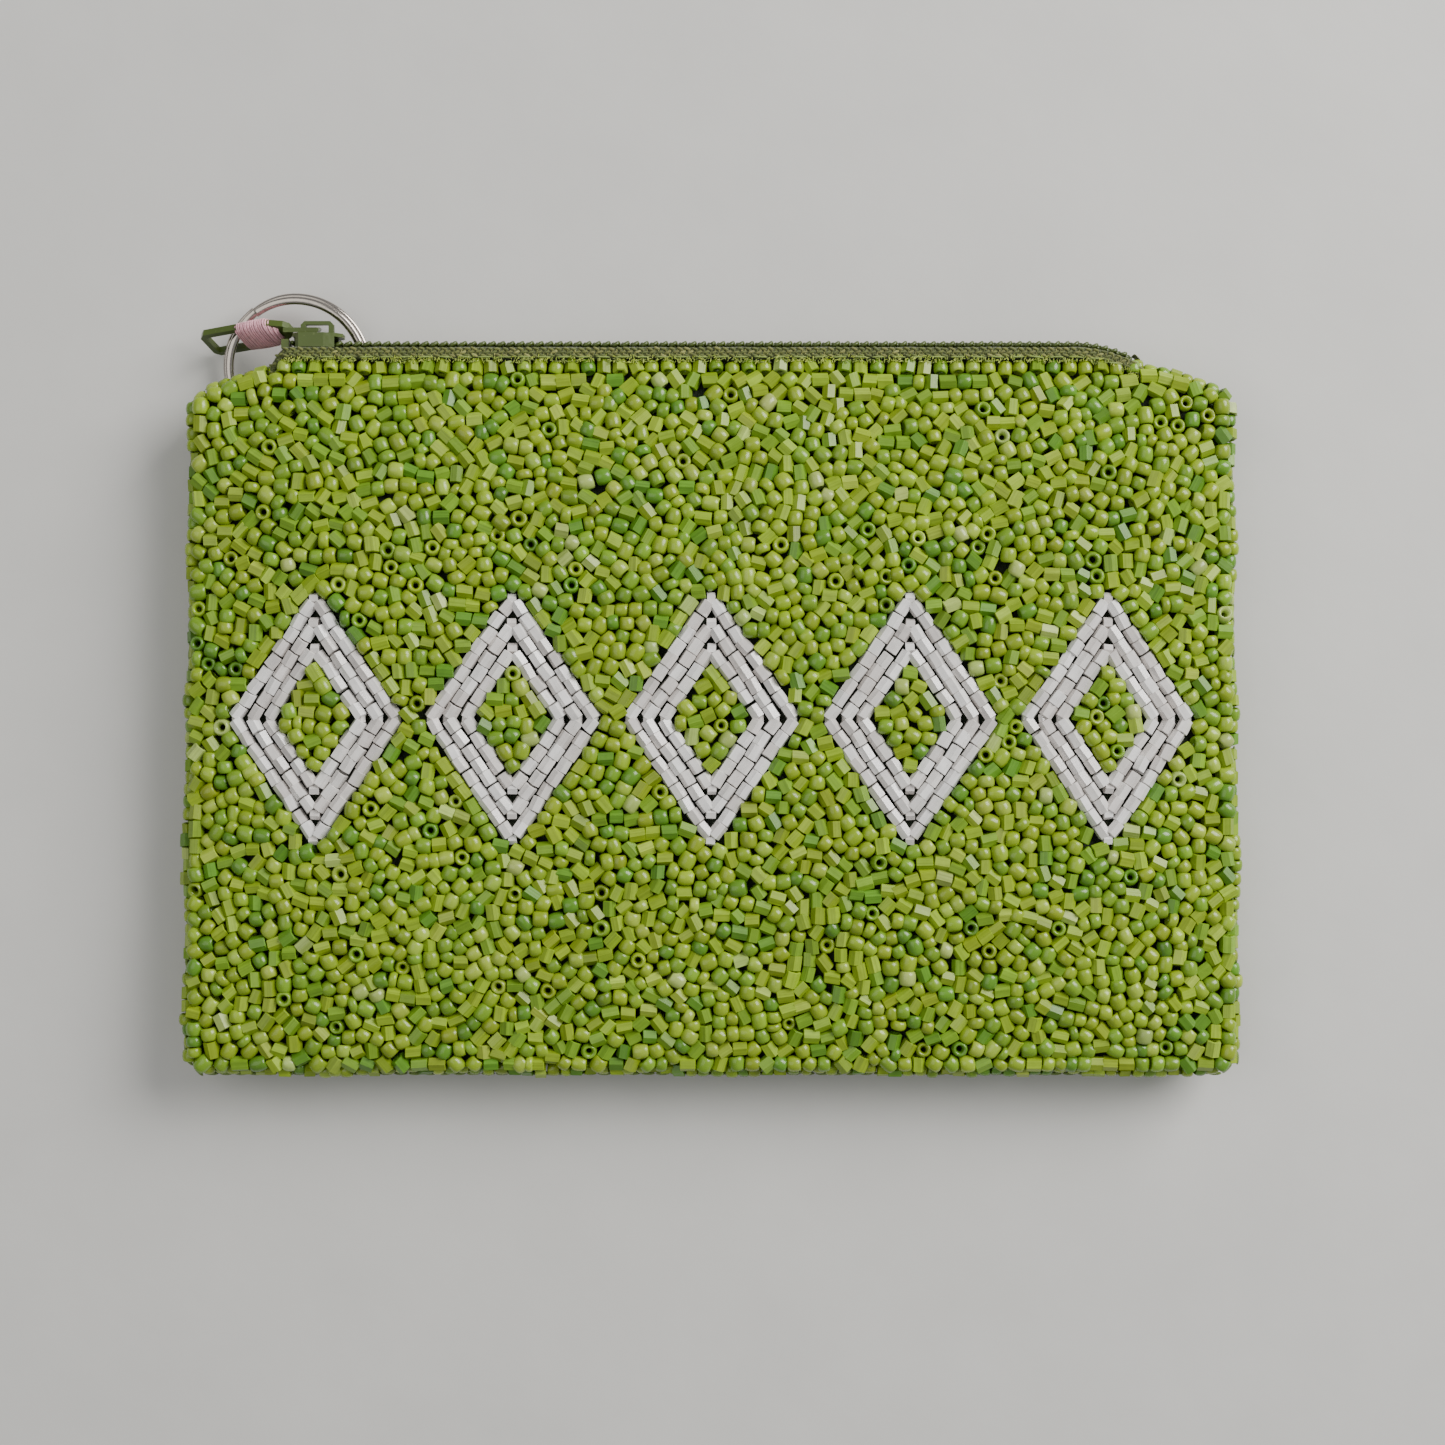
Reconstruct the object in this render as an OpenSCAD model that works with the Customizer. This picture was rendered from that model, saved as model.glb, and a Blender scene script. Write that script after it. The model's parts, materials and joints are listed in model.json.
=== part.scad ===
// Beaded coin purse: two beaded panels, a coil zip along the top, a thread-wrapped zip pull
// and a split key ring.
// The purse lies on its back. +Z points up through its front face, +X runs along the zip and
// +Y points to the zip. The origin is the middle of the flat patch that it rests on.

/* [Purse] */
// Width along the bottom seam
bottom_w = 140.6; // [138:0.2:144]
// Width just under the zip corners
top_w = 138.8; // [137:0.2:142]
// Height of the beaded panels, bottom seam to zip
panel_h = 95; // [93:0.5:98]
// Thickness through the middle
purse_t = 13.2; // [13:0.1:15]
// How far the rounded edge of a panel rises from its flat middle
edge_rise = 3.5; // [3.3:0.1:3.7]
// Width of the sloping margin round the flat middle
margin_w = 26; // [24:1:30]

/* [Panel layers] */
// Thickness of the bead embroidery
bead_t = 2.1; // [1.8:0.1:2.3]
// Thickness of the ground cloth that the beads are sewn to
cloth_t = 0.3; // [0.2:0.05:0.4]
// Room between ground cloth and lining, which holds the seam allowances
seam_room = 0.3; // [0.2:0.05:0.35]
// Thickness of the lining
lining_t = 0.3; // [0.2:0.05:0.35]

/* [Motif] */
// Number of open diamonds in the pale band
diamond_count = 5; // [1:1:5]
// Distance between diamond centres
diamond_pitch = 26; // [25:0.5:27]
// Width of one diamond
diamond_w = 24; // [20:0.5:24.5]
// Height of one diamond
diamond_h = 35; // [28:0.5:40]
// Width of its outline, three rows of beads
outline_w = 5.6; // [4:0.1:6]

/* [Zip] */
// Length of the coil
zip_len = 113; // [100:1:113]
// Width of one half of the coil
coil_w = 0.9; // [0.8:0.05:1]
// Height of the coil
coil_h = 1.15; // [1:0.05:1.2]
// Thickness of the woven tape
tape_t = 0.3; // [0.2:0.05:0.3]
// Length of one sewing stitch
stitch_len = 2; // [1.5:0.1:2.2]
// Distance from one stitch to the next
stitch_pitch = 2.6; // [2.4:0.1:4]

/* [Slider] */
// Length of the slider
slider_len = 6.6; // [6:0.1:7]
// Width at its open end
slider_w = 4.8; // [4.7:0.05:4.8]
// Thickness of its plates
plate_t = 0.5; // [0.4:0.05:0.5]
// Width of the bridge that the pull hangs on
bridge_w = 0.8; // [0.6:0.05:0.9]

/* [Zip pull] */
// Width of the slotted frame
pull_w = 5; // [4.9:0.05:5.1]
// Thickness of the frame
pull_t = 0.9; // [0.8:0.05:0.95]
// Length of the slotted frame
frame_len = 12; // [11.8:0.1:12.2]
// Width of a rail beside the slot
rail_w = 0.75; // [0.6:0.05:0.8]
// Length of the thread wrapping
wrap_len = 6; // [5:0.1:6.1]

/* [Key ring] */
// Outer diameter
ring_d = 20; // [19.8:0.1:20.1]
// Width of the flattened wire
wire_w = 1.5; // [1.4:0.05:1.55]
// Thickness of both turns together
ring_t = 1.3; // [1.1:0.05:1.35]

/* [Hidden] */

mid_z = purse_t / 2;
film = 0.01;
lime = "#8fb33a";
pearl = "#ece8e4";
cloth_green = "#39501d";
lining_green = "#7e9c47";
olive = "#5f6f35";
olive_paint = "#5c6b33";
thread_green = "#6f8438";

// Cut corners of the panel outline: a small one at the bottom seam, and a long sloping one
// at each end of the zip, as [distance in from the side, distance down from the top]
low_cut = 2;
top_cuts = [[0, 5.5], [1.8, 3.3], [8.4, 0.9], [11.9, 0]];
edge_bevel = 0.8;
rim_gap = 0.2;
rim_z = mid_z - rim_gap;
seam_w = 2;
top_y = panel_h / 2;

// The mouth: the span between the corners where the rims are cut back for the zip tape
mouth_half = top_w / 2 - top_cuts[3][0] - 0.4;
mouth_depth = 6;
tape_tuck = 5;
foot_out = 1;
riser_out = 2.9;

// Heights of the zip's layers above the panels' top edge
leg_lift = 0.05;
coil_y = top_y + 1.6;
zip_end = mouth_half - 0.1;
zip_x0 = zip_end - zip_len;
coil_in = 0.5;
stop_len = 1;
stop_grow = 0.1;

// Slider and its channel round the coil
slider_x = zip_x0 + slider_len / 2 + 0.5;
low_plate_y = coil_y - 1;
high_plate_y = coil_y + 1.5;
flange_t = 0.45;
flange_drop = 1.4;
post_w = 0.6;
post_len = 1.3;
bridge_len = 4.4;
bridge_hole_l = 3;
bridge_hole_h = 1.3;
bridge_bar = 0.5;
bridge_shift = -0.2;

// Key ring: a flat ring laid in the plane that clears the back of the purse
ring_tilt = 9.65;
ring_at = [-55.8, 47.2, 2.55];
wire_bevel = 0.3;
coil_groove = 0.08;

// Zip pull: an eye on the slider's bridge, then the slotted frame, rolled and hanging down
eye_r = 0.3;
eye_half = 1.35;
eye_arm = 0.6;
eye_len = 2.8;
eye_root = 1.6;
pull_turn = [64, -18, 6.8];
frame_from = [-4.1, 0.12, -0.3];
frame_neck = 2.4;
wrap_start = 0.7;
wrap_w = 5.6;
wrap_t = 2.1;
pull_at = [slider_x + bridge_shift, high_plate_y + plate_t + 0.7, mid_z];

// Right half of the panel outline from the bottom up, as [x, y, way y moves on shrinking]
function right_edge() = concat(
    [[bottom_w / 2 - low_cut, -top_y, 1], [bottom_w / 2, -top_y + low_cut, 1]],
    [for (c = top_cuts) [top_w / 2 - c[0], top_y - c[1], -1]]);

// One level of the pillow: the whole outline moved inwards, at a height
function outline(inset, z) =
    let (right = [for (p = right_edge()) [p[0] - inset, p[1] + p[2] * inset, z]], n = len(right))
    concat(right, [for (i = [n - 1 : -1 : 0]) [-right[i][0], right[i][1], z]]);

// Height of the sloping margin at an inset from the edge, for a surface some depth inside
function slope_z(inset, depth) =
    edge_rise * (margin_w - inset) / (margin_w - edge_bevel) + depth;

// A closed solid through a stack of levels, lowest first
module stack(levels) {
    n = len(levels[0]);
    last = (len(levels) - 1) * n;
    polyhedron(
        points = [for (level = levels) each level],
        faces = concat(
            [[for (i = [0 : n - 1]) i], [for (i = [n - 1 : -1 : 0]) last + i]],
            [for (k = [0 : len(levels) - 2], i = [0 : n - 1])
                let (a = k * n + i, b = k * n + (i + 1) % n) each [[a, a + n, b], [b, a + n, b + n]]]));
}

// Half of the pillow shape, from its resting face up to a rim, some depth inside the beads
module half_pillow(depth, rim) {
    in = max(depth, edge_bevel);
    stack(concat(
        [outline(margin_w, depth), outline(in, slope_z(in, depth))],
        depth == 0 ? [outline(0, edge_rise + edge_bevel)] : [],
        [outline(depth, rim)]));
}

// A dished layer between two depths, cut back along the mouth where the zip tape leaves
module panel_layer(from, to) {
    difference() {
        half_pillow(from, rim_z);
        half_pillow(to, mid_z + foot_out);
        translate([-mouth_half, top_y - mouth_depth, mid_z - foot_out])
            cube([2 * mouth_half, 2 * mouth_depth, purse_t]);
    }
}

// Turns a piece of the back half into its mate on the front half
module front_side() {
    translate([0, 0, 2 * mid_z]) mirror([0, 0, 1]) children();
}

// Outlines of the pale diamonds as tall prisms
module diamond_prisms() {
    a = diamond_w / 2;
    b = diamond_h / 2;
    reach = a * b / norm([a, b]);
    k = 1 - outline_w / reach;
    for (i = [0 : diamond_count - 1])
        translate([(i - (diamond_count - 1) / 2) * diamond_pitch, 0, mid_z])
            linear_extrude(purse_t)
                difference() {
                    polygon([[a, 0], [0, b], [-a, 0], [0, -b]]);
                    polygon([[k * a, 0], [0, k * b], [-k * a, 0], [0, -k * b]]);
                }
}

// A bar along the zip with the given cross-section, written as [height, distance out]
module zip_bar(section, x0, x1) {
    translate([x0, 0, mid_z])
        rotate([90, 0, 90])
            linear_extrude(x1 - x0)
                polygon([for (p = section) [p[0], -p[1]]]);
}

module zip_tape() {
    foot_y = top_y - tape_tuck;
    leg_y = top_y + leg_lift;
    lap_y = coil_y - tape_t;
    zip_bar([[foot_y, foot_out], [leg_y, foot_out], [leg_y, riser_out], [coil_y, riser_out],
             [coil_y, coil_in + leg_lift], [lap_y, coil_in + leg_lift],
             [lap_y, riser_out - tape_t], [leg_y + tape_t, riser_out - tape_t],
             [leg_y + tape_t, foot_out - tape_t], [foot_y, foot_out - tape_t]],
            -zip_end, zip_end);
}

module zip_coil() {
    zip_bar([[coil_y, coil_in], [coil_y, coil_in + coil_w],
             [coil_y + coil_h, coil_in + coil_w], [coil_y + coil_h, coil_in]],
            zip_x0, zip_end - stop_len - film);
}

// Sewing that holds the tape to the panel: a row of short stitches on the tape's riser
module zip_stitches() {
    count = floor(2 * zip_end / stitch_pitch) - 1;
    first = -(count - 1) * stitch_pitch / 2 - stitch_len / 2;
    thread = 0.16;
    for (i = [0 : count - 1])
        translate([first + i * stitch_pitch, top_y + 2 * leg_lift, mid_z - riser_out - thread])
            cube([stitch_len, 2 * thread, thread]);
}

// Clamp on the end of one half of the coil, which the closed slider stops against
module top_stop() {
    zip_bar([[coil_y, coil_in - stop_grow], [coil_y, coil_in + coil_w + stop_grow],
             [coil_y + coil_h + stop_grow, coil_in + coil_w + stop_grow],
             [coil_y + coil_h + stop_grow, coil_in - stop_grow]],
            zip_x0 - stop_len, zip_x0 - film);
}

module back_beads() {
    color(lime) panel_layer(0, bead_t);
}

module back_cloth() {
    color(cloth_green) panel_layer(bead_t, bead_t + cloth_t);
}

module back_lining() {
    from = bead_t + cloth_t + seam_room;
    color(lining_green) panel_layer(from, from + lining_t);
}

// Lockstitched seam that joins the two panels round the sides and the bottom
module edge_seam() {
    color(thread_green)
        difference() {
            stack([outline(0, rim_z), outline(0, mid_z)]);
            stack([outline(seam_w, rim_z - 1), outline(seam_w, mid_z + 1)]);
            translate([-bottom_w, top_y - mouth_depth, 0]) cube([2 * bottom_w, panel_h, purse_t]);
        }
}

module back_zip_tape() {
    color(olive) zip_tape();
}

module back_zip_coil() {
    color(olive) zip_coil();
}

module back_zip_stitches() {
    color(thread_green) zip_stitches();
}

module back_top_stop() {
    color(olive) top_stop();
}

// Sewn bar across both halves of the coil, where the zip ends
module bottom_stop() {
    out = coil_in + coil_w;
    color(olive)
        zip_bar([[coil_y + film, -out], [coil_y + coil_h, -out],
                 [coil_y + coil_h, out], [coil_y + film, out]],
                zip_end - stop_len, zip_end);
}

module front_beads() {
    color(lime)
        difference() {
            front_side() panel_layer(0, bead_t);
            diamond_prisms();
        }
}

module front_motif_beads() {
    color(pearl)
        intersection() {
            front_side() panel_layer(0, bead_t);
            diamond_prisms();
        }
}

module front_cloth() {
    color(cloth_green) front_side() panel_layer(bead_t, bead_t + cloth_t);
}

module front_lining() {
    from = bead_t + cloth_t + seam_room;
    color(lining_green) front_side() panel_layer(from, from + lining_t);
}

module front_zip_tape() {
    color(olive) front_side() zip_tape();
}

module front_zip_coil() {
    color(olive) front_side() zip_coil();
}

module front_zip_stitches() {
    color(thread_green) front_side() zip_stitches();
}

module front_top_stop() {
    color(olive) front_side() top_stop();
}

// Plan of a slider plate: wide at the open end, narrower where the closed coil leaves
module slider_plan(grow) {
    l = slider_len / 2;
    w = slider_w / 2 + grow;
    narrow = 0.8 * w;
    nose = 0.9;
    polygon([[-l, -w + nose], [-l + nose, -w], [nose, -w], [l - nose, -narrow], [l, -narrow + nose],
             [l, narrow - nose], [l - nose, narrow], [nose, w], [-l + nose, w], [-l, w - nose]]);
}

// Extrudes a plan drawn in x and z upwards along y
module raise(y, h) {
    translate([slider_x, y, mid_z]) rotate([-90, 0, 0]) linear_extrude(h) children();
}

module zip_slider() {
    l = slider_len;
    color(olive_paint) {
        raise(low_plate_y, plate_t) slider_plan(0);
        raise(high_plate_y, plate_t) slider_plan(0);
        raise(high_plate_y - flange_drop, flange_drop + film)
            difference() {
                slider_plan(0);
                translate([-l, -slider_w / 2 + flange_t]) square([2 * l, slider_w - 2 * flange_t]);
            }
        raise(low_plate_y, high_plate_y - low_plate_y + film)
            translate([-l / 2 + film, -post_w / 2]) square([post_len, post_w]);
        translate([slider_x + bridge_shift, high_plate_y + plate_t, mid_z - bridge_w / 2])
            linear_extrude(bridge_w) bridge_profile();
    }
}

// Side of the bridge: an arch with chamfered shoulders over the hole for the pull's eye
module bridge_profile() {
    b = bridge_len / 2;
    h = bridge_hole_h + bridge_bar;
    cut = 0.5;
    difference() {
        polygon([[-b, -film], [-b, h - cut], [-b + cut, h], [b - cut, h], [b, h - cut], [b, -film]]);
        translate([-bridge_hole_l / 2, 0]) square([bridge_hole_l, bridge_hole_h]);
    }
}

module pull_frame_place() {
    translate(pull_at + frame_from) rotate(pull_turn) children();
}

// The whole pull: a bar through the bridge, two arms, and a flat frame with one long slot
module pull_body() {
    translate(pull_at) rotate([ring_tilt, 0, 0]) {
        translate([0, 0, -eye_half]) cylinder(r = eye_r, h = 2 * eye_half, $fn = 32);
        for (side = [-1, 1])
            translate([-eye_len - film, -eye_r, side * (eye_half - eye_arm / 2) - eye_arm / 2])
                cube([eye_len + film, 2 * eye_r, eye_arm]);
        translate([-eye_len - eye_root, -eye_r, -eye_half]) cube([eye_root, 2 * eye_r, 2 * eye_half]);
    }
    pull_frame_place()
        translate([0, 0, -pull_t / 2])
            linear_extrude(pull_t)
                difference() {
                    frame_plan();
                    translate([-frame_len + rail_w, -pull_w / 2 + rail_w])
                        square([frame_len - rail_w - frame_neck, pull_w - 2 * rail_w]);
                }
}

// Outline of the frame: square-cut at its free end, narrowing to the eye
module frame_plan() {
    w = pull_w / 2;
    cut = 0.7;
    polygon([[-frame_len, -w + cut], [-frame_len + cut, -w], [-frame_neck, -w],
             [0, -eye_half], [eye_arm, -eye_half / 2], [eye_arm, eye_half / 2], [0, eye_half],
             [-frame_neck, w], [-frame_len + cut, w], [-frame_len, w - cut]]);
}

module zip_pull() {
    color(olive_paint) pull_body();
}

// Thread lashed round the frame, which also fills the slot beneath it
module pull_thread_wrap() {
    r = wrap_t / 2;
    color("#eec3cb")
        difference() {
            pull_frame_place()
                translate([-wrap_start, 0, 0])
                    rotate([0, -90, 0])
                        linear_extrude(wrap_len) {
                            square([wrap_t, wrap_w - wrap_t], center = true);
                            for (side = [-1, 1])
                                translate([0, side * (wrap_w / 2 - r)]) circle(r = r, $fn = 32);
                        }
            pull_body();
        }
}

module split_ring() {
    r = ring_d / 2;
    t = ring_t / 2;
    b = wire_bevel;
    g = coil_groove;
    color("silver")
        translate(ring_at) rotate([ring_tilt, 0, 0]) rotate_extrude($fn = 96)
            polygon([[r - wire_w, -t + b], [r - wire_w + b, -t], [r - b, -t], [r, -t + b],
                     [r, -g], [r - g, 0], [r, g],
                     [r, t - b], [r - b, t], [r - wire_w + b, t], [r - wire_w, t - b]]);
}

back_beads();
back_cloth();
back_lining();
edge_seam();
back_zip_tape();
back_zip_coil();
back_zip_stitches();
back_top_stop();
bottom_stop();
front_beads();
front_motif_beads();
front_cloth();
front_lining();
front_zip_tape();
front_zip_coil();
front_zip_stitches();
front_top_stop();
zip_slider();
zip_pull();
pull_thread_wrap();
split_ring();
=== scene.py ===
import json

import bpy
import numpy as np
from mathutils import Matrix, Vector


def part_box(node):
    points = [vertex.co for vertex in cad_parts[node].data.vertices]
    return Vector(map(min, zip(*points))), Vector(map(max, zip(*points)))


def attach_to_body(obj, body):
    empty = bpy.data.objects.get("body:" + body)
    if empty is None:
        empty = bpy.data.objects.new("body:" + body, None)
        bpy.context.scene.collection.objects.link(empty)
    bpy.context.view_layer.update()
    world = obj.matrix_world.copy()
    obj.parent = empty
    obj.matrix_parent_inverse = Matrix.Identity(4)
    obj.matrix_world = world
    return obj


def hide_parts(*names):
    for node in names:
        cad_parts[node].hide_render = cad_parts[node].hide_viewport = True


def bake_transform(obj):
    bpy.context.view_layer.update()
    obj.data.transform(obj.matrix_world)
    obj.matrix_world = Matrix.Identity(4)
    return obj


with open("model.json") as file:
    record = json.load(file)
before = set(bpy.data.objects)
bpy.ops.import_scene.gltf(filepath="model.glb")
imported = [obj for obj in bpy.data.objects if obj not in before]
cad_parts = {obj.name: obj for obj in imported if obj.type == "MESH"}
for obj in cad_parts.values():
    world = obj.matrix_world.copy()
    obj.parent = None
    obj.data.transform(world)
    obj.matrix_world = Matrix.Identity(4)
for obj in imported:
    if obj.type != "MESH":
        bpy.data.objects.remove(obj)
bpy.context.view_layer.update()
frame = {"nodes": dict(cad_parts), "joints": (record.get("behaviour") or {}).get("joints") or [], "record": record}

MM = 0.001


# ---- Lining ----
# Two panels of thin lime-green satin, one inside each face. They are caught in the side and
# bottom seams and stitched to the zip tapes along the mouth.
high_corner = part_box("front_beads")[1] / MM
HALF_W = high_corner.x
HALF_H = high_corner.y
THICK = high_corner.z
MOUTH_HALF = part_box("back_zip_tape")[1].x / MM
EDGE_RISE = 3.5
MARGIN = 26.0
RISE_POWER = 1.35
ROLL_WIDTH = 1.2
ROLL_RISE = 0.8
SPINE_HALF = 24.0
MOUTH_RIM_Z = 5.5
SEAM_RIM_Z = 6.3
SHEET_AROUND = 256
SHEET_RINGS = 34
CREASE = 0.03
LINING_DEPTH = 2.85
LINING_T = 0.2
LINING_COLOUR = (0.30, 0.42, 0.12, 1.0)
RIGHT_EDGE = np.array([
    (HALF_W - 2.0, -HALF_H), (HALF_W, -HALF_H + 2.0), (HALF_W - 0.9, HALF_H - 5.5),
    (HALF_W - 2.7, HALF_H - 3.3), (HALF_W - 9.3, HALF_H - 0.9), (HALF_W - 12.8, HALF_H)])
OUTLINE = np.concatenate([RIGHT_EDGE, RIGHT_EDGE[::-1] * (-1, 1)])
SIDE_VECTORS = np.roll(OUTLINE, -1, axis=0) - OUTLINE
SIDE_LENGTHS = np.linalg.norm(SIDE_VECTORS, axis=1)
INWARD = np.stack([-SIDE_VECTORS[:, 1], SIDE_VECTORS[:, 0]], axis=1) / SIDE_LENGTHS[:, None]


def inset_of(xy):
    """Distance of each point from the panel's edge, and the inward normal of its nearest side."""
    reach = ((xy[:, None, :] - OUTLINE[None]) * INWARD[None]).sum(2)
    nearest = reach.argmin(1)
    return reach[np.arange(len(xy)), nearest], INWARD[nearest]


def pillow_z(xy, depth, front):
    """Height of the pillow-shaped panel at each point, some depth inside its outer surface."""
    inset, _ = inset_of(xy)
    slope = np.clip(1 - inset / MARGIN, 0, 1.1)
    roll = np.clip(1 - inset / ROLL_WIDTH, 0, 1)
    z = EDGE_RISE * slope ** RISE_POWER + ROLL_RISE * roll ** 2 + depth
    return THICK - z if front else z


def mesh_object(name, points, faces, smooth=True):
    """A mesh object from points in millimetres."""
    mesh = bpy.data.meshes.new(name)
    mesh.from_pydata((np.asarray(points) * MM).tolist(), [], [tuple(f) for f in faces])
    mesh.polygons.foreach_set("use_smooth", [smooth] * len(mesh.polygons))
    mesh.update()
    made = bpy.data.objects.new(name, mesh)
    bpy.context.scene.collection.objects.link(made)
    return made


def along_outline(inset, count):
    """Points spaced evenly along the panel's outline, with the direction of travel at each."""
    centre_pull = OUTLINE - np.sign(OUTLINE) * inset
    steps = np.roll(centre_pull, -1, axis=0) - centre_pull
    lengths = np.linalg.norm(steps, axis=1)
    ends = np.concatenate([[0], np.cumsum(lengths)])
    at = (np.arange(count) + 0.5) * ends[-1] / count
    side = np.clip(np.searchsorted(ends, at, side="right") - 1, 0, len(lengths) - 1)
    along = ((at - ends[side]) / lengths[side])[:, None]
    return centre_pull[side] + steps[side] * along, steps[side] / lengths[side][:, None]


def thicken(piece, thickness):
    """Gives a sheet its thickness in millimetres, half of it on each side."""
    solid = piece.modifiers.new("thickness", "SOLIDIFY")
    solid.thickness = thickness * MM
    solid.offset = 0


def dished_sheet(name, depth, thickness, front, part, rng):
    """A cloth panel that follows the pillow shape and turns up at its rim.
    part is 'whole', 'left' or 'right'."""
    around = SHEET_AROUND
    edge, _ = along_outline(depth, around)
    spine = np.stack([np.clip(edge[:, 0], -SPINE_HALF, SPINE_HALF), np.zeros(around)], axis=1)
    mouth = (np.abs(edge[:, 0]) < MOUTH_HALF) & (edge[:, 1] > 0)
    rim = np.where(mouth, MOUTH_RIM_Z, SEAM_RIM_Z)
    rows = [np.column_stack([edge, THICK - rim if front else rim])]
    for k in range(SHEET_RINGS + 1):
        xy = edge + (spine - edge) * (k / SHEET_RINGS) ** 1.4
        z = pillow_z(xy, depth, front) + rng.normal(0, CREASE, around)
        rows.append(np.column_stack([xy, z]))
    points = np.concatenate(rows)
    faces = []
    for k in range(SHEET_RINGS + 1):
        for i in range(around):
            j = (i + 1) % around
            quad = (k * around + i, k * around + j, (k + 1) * around + j, (k + 1) * around + i)
            middle = points[list(quad), 0].mean()
            if part == "whole" or (part == "left") == (middle < 0):
                faces.append(quad if front else quad[::-1])
    used, renumbered = np.unique(faces, return_inverse=True)
    made = mesh_object(name, points[used], renumbered.reshape(-1, 4).tolist())
    thicken(made, thickness)
    return made


def new_material(name):
    """A material with its node tree, and the shader that the rest feeds."""
    mat = bpy.data.materials.new(name)
    mat.use_nodes = True
    return mat, mat.node_tree.nodes, mat.node_tree.links, mat.node_tree.nodes["Principled BSDF"]


def new_group(name, inputs, outputs):
    """A shader node group with the given sockets: (name, socket type, default)."""
    group = bpy.data.node_groups.new(name, "ShaderNodeTree")
    for label, kind, value in inputs:
        socket = group.interface.new_socket(label, in_out="INPUT", socket_type=kind)
        if value is not None:
            socket.default_value = value
    for label, kind in outputs:
        group.interface.new_socket(label, in_out="OUTPUT", socket_type=kind)
    inside = group.nodes.new("NodeGroupInput")
    outside = group.nodes.new("NodeGroupOutput")
    return group, group.nodes, group.links, inside.outputs, outside.inputs


def maths(nodes, links, operation, *values):
    """A math node fed by numbers or sockets; returns its output."""
    node = nodes.new("ShaderNodeMath")
    node.operation = operation
    for slot_number, value in enumerate(values):
        if isinstance(value, (int, float)):
            node.inputs[slot_number].default_value = value
        else:
            links.new(value, node.inputs[slot_number])
    return node.outputs[0]


def times(nodes, links, colour, factor):
    """A colour socket multiplied by a number socket; returns the product."""
    scaled = nodes.new("ShaderNodeVectorMath")
    scaled.operation = "SCALE"
    links.new(colour, scaled.inputs[0])
    links.new(factor, scaled.inputs["Scale"])
    return scaled.outputs[0]


# Mottling: multiplies a colour by soft noise and gives a roughness and a height from finer noise.
FLOAT, COLOUR = "NodeSocketFloat", "NodeSocketColor"
mottle, nodes, links, given, result = new_group(
    "mottle",
    [("Color", COLOUR, None), ("Scale", FLOAT, 400.0), ("Vary", FLOAT, 0.2),
     ("Rough Low", FLOAT, 0.4), ("Rough High", FLOAT, 0.6)],
    [("Color", COLOUR), ("Roughness", FLOAT), ("Height", FLOAT)])
place = nodes.new("ShaderNodeTexCoord")
noise = nodes.new("ShaderNodeTexNoise")
noise.inputs["Detail"].default_value = 3.0
links.new(place.outputs["Object"], noise.inputs["Vector"])
links.new(given["Scale"], noise.inputs["Scale"])
centred = maths(nodes, links, "SUBTRACT", noise.outputs["Fac"], 0.5)
swing = maths(nodes, links, "MULTIPLY", maths(nodes, links, "MULTIPLY", centred, 2.4), given["Vary"])
factor = maths(nodes, links, "ADD", swing, 1.0)
links.new(times(nodes, links, given["Color"], factor), result["Color"])
fine = nodes.new("ShaderNodeTexNoise")
fine.inputs["Detail"].default_value = 2.0
links.new(place.outputs["Object"], fine.inputs["Vector"])
links.new(maths(nodes, links, "MULTIPLY", given["Scale"], 4.0), fine.inputs["Scale"])
span = maths(nodes, links, "SUBTRACT", given["Rough High"], given["Rough Low"])
rough = maths(nodes, links, "ADD", given["Rough Low"],
              maths(nodes, links, "MULTIPLY", fine.outputs["Fac"], span))
links.new(rough, result["Roughness"])
links.new(fine.outputs["Fac"], result["Height"])

# Plain weave: rows and columns of threads that pass over and under each other.
weave, nodes, links, given, result = new_group(
    "plain_weave",
    [("Color", COLOUR, None), ("Threads per metre", FLOAT, 2500.0), ("Vary", FLOAT, 0.3)],
    [("Color", COLOUR), ("Height", FLOAT)])
place = nodes.new("ShaderNodeTexCoord")
parts = nodes.new("ShaderNodeSeparateXYZ")
links.new(place.outputs["Object"], parts.inputs[0])
turn = maths(nodes, links, "MULTIPLY", given["Threads per metre"], np.pi)
across = maths(nodes, links, "MULTIPLY", parts.outputs["X"], turn)
upward = maths(nodes, links, "MULTIPLY", parts.outputs["Y"], turn)
warp = maths(nodes, links, "ABSOLUTE", maths(nodes, links, "SINE", across))
weft = maths(nodes, links, "ABSOLUTE", maths(nodes, links, "SINE", upward))
crossing = maths(nodes, links, "MULTIPLY", maths(nodes, links, "SINE", across),
                 maths(nodes, links, "SINE", upward))
over = maths(nodes, links, "GREATER_THAN", crossing, 0.0)
warp_part = maths(nodes, links, "MULTIPLY", warp, over)
weft_part = maths(nodes, links, "MULTIPLY", weft, maths(nodes, links, "SUBTRACT", 1.0, over))
height = maths(nodes, links, "ADD", warp_part, weft_part)
links.new(height, result["Height"])
# The colour is darker where the threads dip under: painted shade between the threads.
dip_shade = maths(nodes, links, "SUBTRACT", 1.0, given["Vary"])
factor = maths(nodes, links, "ADD", dip_shade, maths(nodes, links, "MULTIPLY", height, given["Vary"]))
links.new(times(nodes, links, given["Color"], factor), result["Color"])


def use_group(nodes, group, **values):
    """Puts a node group into a material and sets its inputs; underscores stand for spaces."""
    node = nodes.new("ShaderNodeGroup")
    node.node_tree = group
    for label, value in values.items():
        node.inputs[label.replace("_", " ")].default_value = value
    return node


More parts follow.
